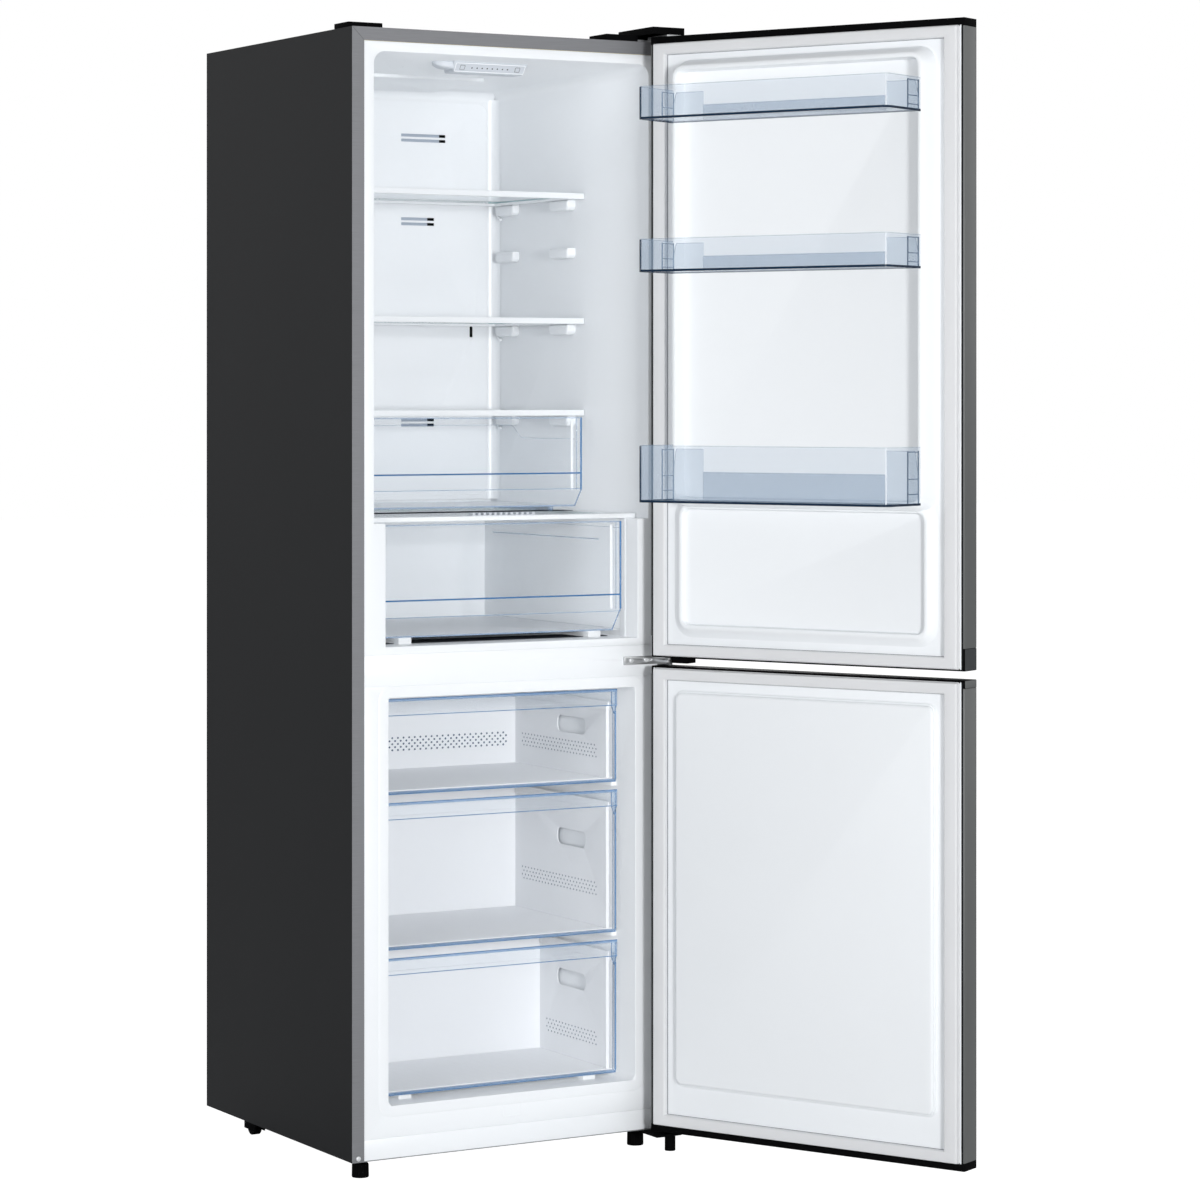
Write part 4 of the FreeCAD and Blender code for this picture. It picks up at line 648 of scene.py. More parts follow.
def soften(material, edge, *names, drop=None):
    """Copies of frame nodes with their triangles merged and their edges rounded, in the nodes' places. Faces
    whose middle passes the drop test are left out."""
    for name in names:
        work = bmesh.new()
        work.from_mesh(NODES[name].data)
        bmesh.ops.remove_doubles(work, verts=work.verts, dist=MERGE)
        bmesh.ops.dissolve_limit(work, angle_limit=FLAT_ANGLE, verts=work.verts, edges=work.edges)
        if drop:
            gone = [face for face in work.faces if drop(face.calc_center_median())]
            bmesh.ops.delete(work, geom=gone, context="FACES")
        bent = [e for e in work.edges if len(e.link_faces) == 2 and e.calc_face_angle() > ROUND_ANGLE]
        bmesh.ops.bevel(work, geom=bent, offset=edge, offset_type="OFFSET", segments=BEVEL_SEGMENTS,
                        profile=0.5, affect="EDGES", clamp_overlap=True)
        mesh = bpy.data.meshes.new(f"{name}_softened")
        work.to_mesh(mesh)
        work.free()
        item = placed(f"{name}_softened", mesh, material)
        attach(item, NODES[name]["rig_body"])
        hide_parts(name)


def spans(name):
    """The node's spans along the three axes."""
    low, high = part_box(name)
    return [(low[i], high[i]) for i in range(3)]


def listed(rows, word, wide, kind=float):
    """One property of all rows of a mesh's list, as an array."""
    values = np.empty(len(rows) * wide, kind)
    rows.foreach_get(word, values)
    return values


def shut_spans(name):
    """A door node's spans along the three axes with its door shut: its points turned back about the hinge."""
    points = turned(listed(NODES[name].data.vertices, "co", 3).reshape(-1, 3), -DOOR_ANGLE)
    return list(zip(points.min(0), points.max(0)))


def boss_spans():
    """Corners of the shelf bosses, read from the liner's faces that look up beside its side walls: their
    points are grouped by side, level and depth."""
    margin, upward, digits = 20 * MM, 0.9, 4
    mesh = NODES["fridge_liner"].data
    corner = listed(mesh.loops, "vertex_index", 1, int).reshape(-1, 3)
    spots = listed(mesh.vertices, "co", 3).reshape(-1, 3)[corner]
    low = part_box("crisper_cover_shelf")[1][2] + margin
    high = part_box("control_panel")[0][2] - margin
    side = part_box("air_duct_cover")[1][0] - margin
    up = listed(mesh.polygons, "normal", 3).reshape(-1, 3)[:, 2] > upward
    across, level = np.abs(spots[..., 0]), spots[..., 2]
    spots = spots[up & ((across > side) & (level > low) & (level < high)).all(1)]
    middle = spots[..., 1].mean()
    keys = np.stack([np.sign(spots[:, 0, 0]), np.round(spots[:, 0, 2], digits), spots[:, 0, 1] > middle], -1)
    groups, which = np.unique(keys, axis=0, return_inverse=True)
    found = [spots[which.ravel() == group].reshape(-1, 3) for group in range(len(groups))]
    return [(points.min(0), points.max(0)) for points in found]


class FRIDGE_OT_stage(bpy.types.Operator):
    """Floor, even light, lamps and the camera"""
    bl_idname = "fridge.make_stage"
    bl_label = "Stage"
    WHITE, SKY, FLOOR_GREY = (1.0, 1.0, 1.0), (0.95, 0.975, 1.0), (0.9, 0.9, 0.9)
    FLOOR_REACH, FLOOR_DROP = 30.0, 0.5 * MM
    # For the camera the floor is part glow, part matt grey that keeps the shadow.
    GLOW_SHARE, GLOW = 0.82, 1.26
    WHITE_RAYS = ("Camera", "Glossy", "Transmission")
    # Each lamp: name, setting of its power, place, target and width.
    LAMPS = (("front_lamp", "key", (-0.9, -6.8, 1.5), (0.05, 0.1, 1.0), 0.9),
             ("side_lamp", "side", (-5.1, -2.9, 1.6), (0.1, 0.0, 1.0), 2.5),
             ("rear_lamp", "rear", (2.6, 4.4, 2.6), (0.0, 0.3, 0.9), 2.2))

    def execute(self, context):
        scene, stage = context.scene, context.scene.fridge_stage
        scene.view_settings.view_transform = "Standard"
        camera = bpy.data.objects.new("camera", bpy.data.cameras.new("camera"))
        camera.data.lens = stage.lens
        camera.data.shift_y = stage.shift
        camera.location = stage.place
        camera.rotation_euler = (math.pi / 2, 0, stage.turn)
        scene.collection.objects.link(camera)
        scene.camera = camera
        self.even_light(scene, stage.ambient)
        self.floor(scene)
        for name, setting, place, target, wide in self.LAMPS:
            lamp = bpy.data.objects.new(name, bpy.data.lights.new(name, "AREA"))
            lamp.data.energy = getattr(stage, setting)
            lamp.data.size = wide
            lamp.location = place
            away = np.array(place) - np.array(target)
            flat = math.hypot(away[0], away[1])
            lamp.rotation_euler = (math.atan2(flat, away[2]), 0, math.atan2(away[1], away[0]) + math.pi / 2)
            scene.collection.objects.link(lamp)
        return {"FINISHED"}

    def even_light(self, scene, strength):
        """A pale sky that gives even light, and plain white where the camera or a reflection sees it."""
        scene.world = bpy.data.worlds.new("studio")
        light = Shade("studio", scene.world)
        rays = [light.add("ShaderNodeLightPath", give=f"Is {kind} Ray") for kind in self.WHITE_RAYS]
        soft = light.add("ShaderNodeBackground", None, {"Color": self.SKY, "Strength": strength})
        white = light.add("ShaderNodeBackground", None, {"Color": self.WHITE, "Strength": 1.0})
        light.close(light.add("ShaderNodeMixShader", None, {0: sum(rays).least(1.0), 1: soft, 2: white}))

    def floor(self, scene):
        """A wide square just under the feet."""
        shade = Shade("pale_floor")
        seen = shade.add("ShaderNodeLightPath", give="Is Camera Ray")
        matt = shade.add("ShaderNodeBsdfDiffuse", None, {"Color": self.FLOOR_GREY})
        glow = shade.add("ShaderNodeEmission", None, {"Color": self.WHITE, "Strength": self.GLOW})
        blend = shade.add("ShaderNodeMixShader", None, {0: seen * self.GLOW_SHARE, 1: matt, 2: glow})
        reach, drop = self.FLOOR_REACH, -self.FLOOR_DROP
        square = Shell().sheet(np.array([[[x, y, drop] for x in (-reach, reach)] for y in (-reach, reach)]))
        mesh = bpy.data.meshes.new("floor")
        mesh.from_pydata(square.points[0].tolist(), [], square.faces)
        mesh.materials.append(shade.close(blend))
        ground = bpy.data.objects.new("floor", mesh)
        scene.collection.objects.link(ground)


class FRIDGE_OT_cabinet(bpy.types.Operator):
    """Steel case, pressed back sheet, base and vent plate"""
    bl_idname = "fridge.make_cabinet"
    bl_label = "Cabinet"
    COLUMNS, ROWS = 91, 161
    BORDER, FADE = 26 * MM, 10 * MM
    BEAD_PITCH, BEAD_HALF, BEAD_RISE = 0.27, 9 * MM, 2.5 * MM

    def execute(self, context):
        look = finishes()
        dress(look.case, "outer_case")
        dress(look.sheet, "base_panel", "compressor_cover")
        dress(look.foam, "cabinet_foam")
        # Back sheet, a height field: cross beads stand out of the flat sheet and fade out before its border.
        x, y, z = spans("back_panel")
        across, up = np.linspace(*x, self.COLUMNS), np.linspace(*z, self.ROWS)
        gap_x = np.minimum(across - x[0], x[1] - across)[None, :]
        gap_z = np.minimum(up - z[0], z[1] - up)[:, None]
        field = (np.minimum(gap_x, gap_z) - self.BORDER) / self.FADE
        beads = 1 - np.abs((up[:, None] - z[0]) % self.BEAD_PITCH - self.BEAD_PITCH / 2) / self.BEAD_HALF
        rise = smooth(field) * smooth(beads) * self.BEAD_RISE
        rows = np.stack(np.broadcast_arrays(across[::-1][None, :], y[1] + rise[:, ::-1], up[:, None]), -1)
        Shell().sheet(rows).piece("pressed_back_sheet", "cabinet", look.sheet, "galvanised_sheet",
                                  ("back_panel",), sheet=True)
        return {"FINISHED"}


class FRIDGE_OT_liners(bpy.types.Operator):
    """Liners, shelf bosses, inner coves, opening bead, ceiling lamp cover and the air duct cover"""
    bl_idname = "fridge.make_liners"
    bl_label = "Liners"
    # Fridge room: level of its ceiling at the front, its depth, and the fall and the draft over that depth.
    CEILING, DEPTH, FALL, DRAFT = 1.825, 0.540, 0.012, 8 * MM
    SIDE_GAP, WALL_STEP = 4 * MM, 1.5 * MM
    BOSS_GROW, BOSS_TALL, BOSS_ROUND, BOSS_SUNK = 3 * MM, 18.5 * MM, 9 * MM, 6 * MM
    BOSS_EDGE, BOSS_SLACK = 4 * MM, 1 * MM
    COVE_PROUD, COVE_STEPS = 0.4 * MM, 9
    LAMP_HALF, LAMP_RUN, LAMP_DEEP, LAMP_SUNK = 115 * MM, (0.310, 0.505), 6 * MM, 2 * MM
    LAMP_CORNER, LAMP_EDGE = 10 * MM, 2 * MM
    LINE, LINE_RISE_SHARE = 0.7 * MM, 0.6
    LINE_INSET, LINE_DROP, LINE_CORNER = 12 * MM, 7 * MM, 20 * MM
    BEAD_TOP_GAP, BEAD_DROP, BEAD_CORNER, BEAD_SUNK = 1 * MM, 22 * MM, 22 * MM, 0.5 * MM
    BEAD_STEPS, BEAD_POWER = 9, 0.7
    SILL_SPAN, SILL_HALF, SILL_RISE, SILL_CORNER = (-22 * MM, 14 * MM), 11.5 * MM, 24 * MM, 2.5 * MM
    SILL_PROFILE = np.array([(0, 0), (0.4, 0.4), (1.2, 0.4), (1.6, 0), (0.8, -0.3)]) * MM
    FIN_START, FIN_ENDS, FIN_SPLIT, FIN_GAP = 40 * MM, (113 * MM, 137 * MM), 1.65, 5 * MM
    FIN_MARGIN, FIN_CORNER, FIN_DEEP, FIN_EDGE = 30 * MM, 3 * MM, (11 * MM, 14 * MM), 0.5 * MM
    # Dark plate behind the slots, a painted shade of the duct: margin, corner and depth.
    DARK_MARGIN, DARK_CORNER, DARK_DEEP = 20 * MM, 6 * MM, (2 * MM, 4 * MM)
    COLUMN_GAP, COLUMN_REACH, COLUMN_DEEP, COLUMN_DROP = 3 * MM, 8 * MM, (40 * MM, 58 * MM), 11 * MM
    COLUMN_CORNER, COLUMN_EDGE = 2 * MM, 0.8 * MM
    # Dark strip under the crisper, a painted shadow: inset, run, corner, thickness and edge.
    STRIP_INSET, STRIP_RUN, STRIP_CORNER = 16 * MM, (16 * MM, 90 * MM), 8 * MM
    STRIP_THICK, STRIP_EDGE = 0.8 * MM, 0.3 * MM

    def execute(self, context):
        look, size = finishes(), form()
        duct = spans("air_duct_cover")
        wall = duct[0][1] + self.SIDE_GAP
        self.bosses(look, size, wall)
        soften(look.liner, size.liner_edge, "freezer_liner", "mullion_cover", "front_plinth")
        soften(look.liner, size.liner_edge, "air_duct_cover", "freezer_back_cover")
        self.fridge_room(look, size, duct, wall)
        self.freezer_opening(look, size)
        self.louvres(look, duct)
        self.columns(look, wall)
        return {"FINISHED"}

    def bosses(self, look, size, wall):
        """The fridge liner without its plain bosses, and slabs with a flat top and a round belly instead."""
        bosses = boss_spans()
        lows, highs = (np.stack(corners) for corners in zip(*bosses))
        inside = lows[lows[:, 0] > 0, 0].min() - self.WALL_STEP
        level = lows[:, 2].min() - self.BOSS_TALL, highs[:, 2].max() + self.WALL_STEP
        depth = lows[:, 1].min() - self.BOSS_SLACK, highs[:, 1].max() + self.BOSS_SLACK

        def on_boss(spot):
            slant = wall + self.DRAFT - self.DRAFT * spot.y / self.DEPTH - self.WALL_STEP
            in_reach = level[0] < spot.z < level[1] and depth[0] < spot.y < depth[1]
            return in_reach and inside < abs(spot.x) < slant

        soften(look.liner, size.liner_edge, "fridge_liner", drop=on_boss)
        lugs = Shell()
        sharp, belly = self.BOSS_SUNK / 4, self.BOSS_ROUND
        for low, high in bosses:
            run = (low[1] - self.BOSS_GROW, high[1] + self.BOSS_GROW)
            tall = (high[2] - self.BOSS_TALL, high[2])
            if low[0] > 0:
                lugs.slab(tall, run, (sharp, belly, belly, sharp), (-high[0] - self.BOSS_SUNK, -low[0]),
                          self.BOSS_EDGE, "-x")
            else:
                lugs.slab(run, tall, (sharp, sharp, belly, belly), (low[0] - self.BOSS_SUNK, high[0]),
                          self.BOSS_EDGE, "x")
        lugs.piece("shelf_bosses", "cabinet", look.liner, "white_liner")

    def fridge_room(self, look, size, duct, wall):
        """Coves, each a concave quarter circle between the duct cover's face and a wall or the ceiling, the
        lamp cover that follows the ceiling's fall, and a fine raised line along the duct cover's edge."""
        turn, front, fall = quarter(self.COVE_STEPS), duct[1][0] - self.COVE_PROUD, self.FALL / self.DEPTH
        cove = np.concatenate([np.stack([np.cos(turn) - 1, np.sin(turn) - 1], -1), [[0, 0]]]) * size.cove
        rows = [(f"{side}_back_cove", (cove + [wall, front]) * [sign, 1], duct[2], "z")
                for side, sign in (("right", 1), ("left", -1))]
        rows.append(("top_back_cove", cove + [front, self.CEILING - fall * front], duct[0], "x"))
        for name, section, run, axis in rows:
            Shell().loft(stand(np.stack([section, section]), run, axis)).piece(
                name, "cabinet", look.liner, "white_liner")
        cover = Shell().slab(about(0, self.LAMP_HALF), self.LAMP_RUN, self.LAMP_CORNER,
                             counted(self.CEILING, (-self.LAMP_DEEP, self.LAMP_SUNK)), self.LAMP_EDGE, "z")
        cover.lean(-fall).piece("ceiling_lamp_cover", "cabinet", look.liner, "white_liner")
        plane, line = -duct[1][0], self.LINE
        foot, crest = plane - line / 2, plane + line * self.LINE_RISE_SHARE
        Shell().carry(inner(duct[0], self.LINE_INSET), inner(duct[2], self.LINE_DROP), self.LINE_CORNER,
                      [(0, foot), (line, crest), (2 * line, foot)], "-y", loop=True).piece(
            "duct_cover_line", "cabinet", look.liner, "white_liner")

    def freezer_opening(self, look, size):
        """A low rounded swell carried round the freezer opening, and a plain raised rectangle on the sill."""
        half = spans("middle_drawer_tub")[0][1] + self.SIDE_GAP + size.bead_width
        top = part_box("mullion_cover")[0][2] - self.BEAD_TOP_GAP
        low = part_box("bottom_drawer_tub")[0][2] - self.BEAD_DROP
        t = np.linspace(0, np.pi, self.BEAD_STEPS)
        wide, rise = size.bead_width, size.bead * np.sin(t) ** self.BEAD_POWER
        swell = np.stack([wide / 2 * (1 - np.cos(t)), rise], -1)
        swell = np.concatenate([swell, [[wide, -self.BEAD_SUNK], [0, -self.BEAD_SUNK]]])
        Shell().carry(about(0, half), (low, top), self.BEAD_CORNER, swell, "-y", loop=True).piece(
            "freezer_opening_bead", "cabinet", look.liner, "white_liner")
        sill = spans("front_plinth")[2][1] + self.SILL_RISE
        Shell().carry(self.SILL_SPAN, about(sill, self.SILL_HALF), self.SILL_CORNER, self.SILL_PROFILE, "-y",
                      loop=True).piece("sill_mark", "cabinet", look.liner, "white_liner")

    def louvres(self, look, duct):
        """Louvres behind the air slots, whose outer ends stay open to the dark duct behind, and a dark plate
        behind them, a painted shade of the duct's inside.
        """
        back = -duct[1][1]
        fins = Shell()
        zones = ((duct[2][0] + self.FIN_MARGIN, self.FIN_SPLIT - self.FIN_GAP),
                 (self.FIN_SPLIT, duct[2][1] - self.FIN_MARGIN))
        for sign in SIDES:
            for end, zone in zip(self.FIN_ENDS, zones):
                fins.slab(beside(sign, self.FIN_START, end), zone, self.FIN_CORNER,
                          counted(back, self.FIN_DEEP), self.FIN_EDGE, "-y")
        fins.piece("slot_louvres", "cabinet", look.slot_fin, "grey_plastic")
        # The dark plate paints the shade inside the duct.
        Shell().slab(inner(duct[0], self.DARK_MARGIN), inner(duct[2], self.DARK_MARGIN), self.DARK_CORNER,
                     counted(back, self.DARK_DEEP), self.FIN_EDGE, "-y").piece(
            "slot_backs", "cabinet", look.slot_dark, "grey_plastic")

    def columns(self, look, wall):
        """Columns beside the crisper, and a dark strip under it, a painted shadow."""
        x, y, z = spans("crisper_drawer")
        floor, ledge = z[0] - self.COLUMN_DROP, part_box("crisper_cover_shelf")[0][2]
        columns = Shell()
        for sign in SIDES:
            columns.slab(beside(sign, x[1] + self.COLUMN_GAP, wall + self.COLUMN_REACH), self.COLUMN_DEEP,
                         self.COLUMN_CORNER, (floor, ledge), self.COLUMN_EDGE, "z")
        columns.piece("crisper_columns", "cabinet", look.liner, "white_liner")
        Shell().slab(inner(x, self.STRIP_INSET), counted(y[0], self.STRIP_RUN), self.STRIP_CORNER,
                     (floor, floor + self.STRIP_THICK), self.STRIP_EDGE, "z").piece(
            "crisper_strip", "cabinet", look.strip, "black_plastic")


class FRIDGE_OT_console(bpy.types.Operator):
    """Ceiling control panel with its light dots, plain marks, lamp dome and buttons"""
    bl_idname = "fridge.make_console"
    bl_label = "Ceiling console"
    BUTTON_EDGE = 0.6 * MM
    SLOPE, DRAFT, BACK_DRAFT, TOP_GAP, CORNER = 11 * MM, 4 * MM, 2 * MM, 2 * MM, 3 * MM
    # Body sections from the foot up: share of the slope and inset; the first three heights round the foot.
    SLOPE_SHARES, INSETS = (1.0, 1.0, 0.92, 0.5, 0.0), (1.2 * MM, 0, 0, 0, 0)
    FOOT_HEIGHTS = (0, 1 * MM, 2.2 * MM)
    DOT, DOTS, DOT_START, DOT_PITCH, DOT_AROUND = 1.3 * MM, 8, 36 * MM, 9.6 * MM, 12
    DOT_HEIGHTS = (-0.3 * MM, 0.2 * MM, 0.35 * MM)
    RIM = np.array([(0, -0.3), (0.2, 0.35), (0.8, 0.35), (1.0, -0.3)]) * MM
    MARK_HALF, MARK_INSET, MARK_CORNER, MARK_SHARE = 4.5 * MM, 14 * MM, 1 * MM, 0.6
    BORDER_LOW, BORDER_TOP, BORDER_CORNER, BORDER_SHARE = 1.5 * MM, 1 * MM, 2 * MM, 1.3
    DOME_REACH, DOME_DEEP, DOME_TALL, DOME_CORNER = 33 * MM, 34 * MM, 11 * MM, 5 * MM
    DOME_LAP, DOME_SUNK, DOME_STEPS, DOME_FALL = 4 * MM, 1 * MM, 10, 0.98

    def execute(self, context):
        look = finishes()
        soften(look.console, self.BUTTON_EDGE, "temperature_button", "mode_button")
        x, y, z = spans("control_panel")
        top = z[1] - self.TOP_GAP
        height = top - z[0]
        # Body: rounded rectangles from the foot up to the ceiling, whose front slopes out on the way up.
        levels = np.array([*self.FOOT_HEIGHTS, height / 2, height + self.TOP_GAP])
        rows = [ring(inner(x, share * self.DRAFT + inset),
                     (y[0] + share * self.SLOPE + inset, y[1] - share * self.BACK_DRAFT - inset),
                     self.CORNER)[0]
                for share, inset in zip(self.SLOPE_SHARES, self.INSETS)]
        Shell().loft(stand(np.stack(rows), z[0] + levels, "z")).piece(
            "console_body", "cabinet", look.console, "grey_plastic", ("control_panel",))
        self.marks(look, x, y, z, height)
        # Dome: sections that shrink as a quarter circle away from the console's left end.
        t = np.linspace(0, 1, self.DOME_STEPS)
        middle = (y[0] + y[1]) / 2
        rows = [ring((top - self.DOME_TALL * share, top + self.TOP_GAP + self.DOME_SUNK),
                     about(middle, self.DOME_DEEP / 2 * share), self.DOME_CORNER * share)[0]
                for share in np.sqrt(1 - self.DOME_FALL * t ** 2)]
        Shell().loft(stand(np.stack(rows), -x[0] - self.DOME_LAP + self.DOME_REACH * t, "-x")).piece(
            "console_lamp_dome", "cabinet", look.console, "grey_plastic")
        return {"FINISHED"}

    def marks(self, look, x, y, z, height):
        """Marks drawn flat, then laid on the sloping front: dots in a row, a frame at each end, a border."""
        fall = np.array([0, -self.SLOPE, height])
        tall = float(np.linalg.norm(fall))
        place = ((x[0] + x[1]) / 2, y[0] + self.SLOPE, z[0]), (1, 0, 0), fall / tall
        half, middle = (x[1] - x[0]) / 2, tall / 2
        dots, border = Shell(), Shell()
        profile = list(zip((self.DOT, self.DOT, self.DOT * DOT_TOP_SHARE), self.DOT_HEIGHTS))
        for dot in range(self.DOTS):
            spot = (-half + self.DOT_START + dot * self.DOT_PITCH, middle, 0)
            dots.lathe(spot, profile, "z", self.DOT_AROUND)
        for sign in SIDES:
            spot = sign * (half - self.MARK_INSET - self.DRAFT)
            dots.carry(about(spot, self.MARK_HALF), about(middle, self.MARK_HALF), self.MARK_CORNER,
                       self.RIM * self.MARK_SHARE, "z", loop=True)
        border.carry(about(0, half - self.DRAFT), (self.BORDER_LOW, tall - self.BORDER_TOP),
                     self.BORDER_CORNER, self.RIM * self.BORDER_SHARE, "z", loop=True)
        dots.lay(*place).piece("console_dots", "cabinet", look.print, "black_plastic")
        border.lay(*place).piece("console_border", "cabinet", look.liner, "white_liner")


class FRIDGE_OT_shelves(bpy.types.Operator):
    """Glass shelves with their white trims and rear hooks, and the cover shelf over the crisper"""
    bl_idname = "fridge.make_shelves"
    bl_label = "Shelves"
    COVE_GAP, GLASS_CORNER, GLASS_EDGE, TRIM_EDGE = 3 * MM, 4 * MM, 0.8 * MM, 1.2 * MM
    HOOK_WIDE, HOOK_THICK, HOOK_FALL, HOOK_CURL = 5 * MM, 1.6 * MM, 26 * MM, 15 * MM
    HOOK_INSET, HOOK_BACK, HOOK_SUNK, HOOK_STEPS = 6 * MM, 3 * MM, 2 * MM, 9
    PIN_OUT, PIN_DEEP, PIN_TALL, PIN_STEPS = (3 * MM, 5 * MM), (-12 * MM, -9 * MM), 4 * MM, (0.0, 9 * MM)
    # Cover shelf: widths of its front trim and of its side and rear trims, and the glass plate in them.
    TRIM_FRONT, TRIM_SIDE, TRIM_CORNER, TRIM_ROUND = 26 * MM, 18 * MM, 2 * MM, 1.6 * MM
    GLASS, SEAT_GAP, SEAT_CORNER, PLATE_EDGE, PLATE_MARK = 4 * MM, 0.2 * MM, 0.5 * MM, 0.6 * MM, 0.6
    # Dark strip under the chiller drawer, a painted shadow: inset, run, corner, levels and edge.
    STRIP_INSET, STRIP_RUN, STRIP_CORNER = 12 * MM, (8 * MM, 60 * MM), 6 * MM
    STRIP_LEVELS, STRIP_EDGE = (-0.4 * MM, 0.2 * MM), 0.2 * MM
    VENT_RUN, VENT_DEEP, VENT_CORNER, VENT_EDGE = (-57 * MM, 65 * MM), (4 * MM, 22 * MM), 2 * MM, 0.6 * MM
    VENT_LEVELS, VENT_RIBS, RIB_START_SHARE = (-1 * MM, 1.2 * MM), 12, 0.25
    RIB_INSET, RIB_LEVELS, RIB_EDGE = 1 * MM, (1 * MM, 5 * MM), 1 * MM

    def execute(self, context):
        look = finishes()
        cove = form().cove + self.COVE_GAP
        corners = (cove, cove, self.GLASS_CORNER, self.GLASS_CORNER)
        for level in ("upper", "middle", "lower"):
            x, y, z = spans(f"{level}_shelf_glass")
            Shell().slab(x, y, corners, z, self.GLASS_EDGE, "z", 0.0, 1.0).piece(
                f"{level}_glass_plate", f"{level}_shelf", look.glass, "shelf_glass",
                (f"{level}_shelf_glass",))
            soften(look.liner, self.TRIM_EDGE, f"{level}_shelf_trims")
            self.hooks(look, level)
        self.cover_shelf(look)
        return {"FINISHED"}

    def hooks(self, look, level):
        """Hooks: a flat strip that leaves the rear trim downwards and curls forward on a quarter ellipse,
        with two dark pins beside it."""
        x, y, z = spans(f"{level}_shelf_trims")
        t = quarter(self.HOOK_STEPS)
        centre = np.stack([y[1] - self.HOOK_BACK - self.HOOK_CURL * (1 - np.cos(t)),
                           z[0] + self.HOOK_SUNK - self.HOOK_FALL * np.sin(t)], -1)
        along = np.gradient(centre, axis=0)
        across = np.stack([along[:, 1], -along[:, 0]], -1) / np.linalg.norm(along, axis=1)[:, None]
        offset = self.HOOK_THICK * np.array([-1, -1, 1, 1])[None, :, None]
        flat = centre[:, None, :] + across[:, None, :] * offset
        hooks, pins = Shell(), Shell()
        for sign in SIDES:
            at = x[1] - self.HOOK_INSET
            edges = sign * at + np.array([-1, 1, 1, -1]) * self.HOOK_WIDE / 2
            hooks.loft(np.concatenate([np.broadcast_to(edges, flat.shape[:2])[..., None], flat], -1))
            for step in self.PIN_STEPS:
                pins.slab(beside(sign, *counted(at, self.PIN_OUT)), counted(y[1], self.PIN_DEEP), BAR_CORNER,
                          (z[0] - self.PIN_TALL - step, z[0] - step), BAR_EDGE, "z")
        hooks.piece(f"{level}_shelf_hooks", f"{level}_shelf", look.liner, "white_liner")
        pins.piece(f"{level}_shelf_hook_pins", f"{level}_shelf", look.slot_dark, "grey_plastic")

    def cover_shelf(self, look):
        """A white frame with a glass plate in it, a ribbed vent strip on its front edge, and a dark strip
        under the chiller drawer, a painted shadow."""
        x, y, z = spans("crisper_cover_shelf")
        glass_x, glass_y = inner(x, self.TRIM_SIDE), (y[0] + self.TRIM_FRONT, y[1] - self.TRIM_SIDE)
        seat_x, seat_y = inner(glass_x, self.SEAT_GAP), inner(glass_y, self.SEAT_GAP)
        trims = Shell()
        for run in ((y[0], glass_y[0]), (glass_y[1], y[1])):
            trims.slab(x, run, self.TRIM_CORNER, z, self.TRIM_ROUND, "z")
        for sign in SIDES:
            trims.slab(beside(sign, x[1], glass_x[1]), seat_y, self.SEAT_CORNER, z, self.TRIM_EDGE, "z")
        trims.piece("cover_shelf_trims", "crisper_cover", look.liner, "white_liner", ("crisper_cover_shelf",))
        Shell().slab(seat_x, seat_y, self.SEAT_CORNER, about((z[0] + z[1]) / 2, self.GLASS / 2),
                     self.PLATE_EDGE, "z", 0.0, self.PLATE_MARK).piece(
            "cover_shelf_glass", "crisper_cover", look.glass, "shelf_glass")
        chiller = spans("chiller_drawer")
        Shell().slab(inner(chiller[0], self.STRIP_INSET), counted(chiller[1][0], self.STRIP_RUN),
                     self.STRIP_CORNER, counted(z[1], self.STRIP_LEVELS), self.STRIP_EDGE, "z").piece(
            "chiller_strip", "crisper_cover", look.strip, "black_plastic")
        deep = counted(y[0], self.VENT_DEEP)
        vent = Shell().slab(self.VENT_RUN, deep, self.VENT_CORNER, counted(z[1], self.VENT_LEVELS),
                            self.VENT_EDGE, "z")
        pitch = (self.VENT_RUN[1] - self.VENT_RUN[0]) / self.VENT_RIBS
        for rib in range(self.VENT_RIBS):
            start = self.VENT_RUN[0] + (rib + self.RIB_START_SHARE) * pitch
            vent.slab((start, start + pitch / 2), inner(deep, self.RIB_INSET), self.RIB_EDGE,
                      counted(z[1], self.RIB_LEVELS), self.RIB_EDGE, "z")
        vent.piece("cover_shelf_vent", "crisper_cover", look.console, "grey_plastic")


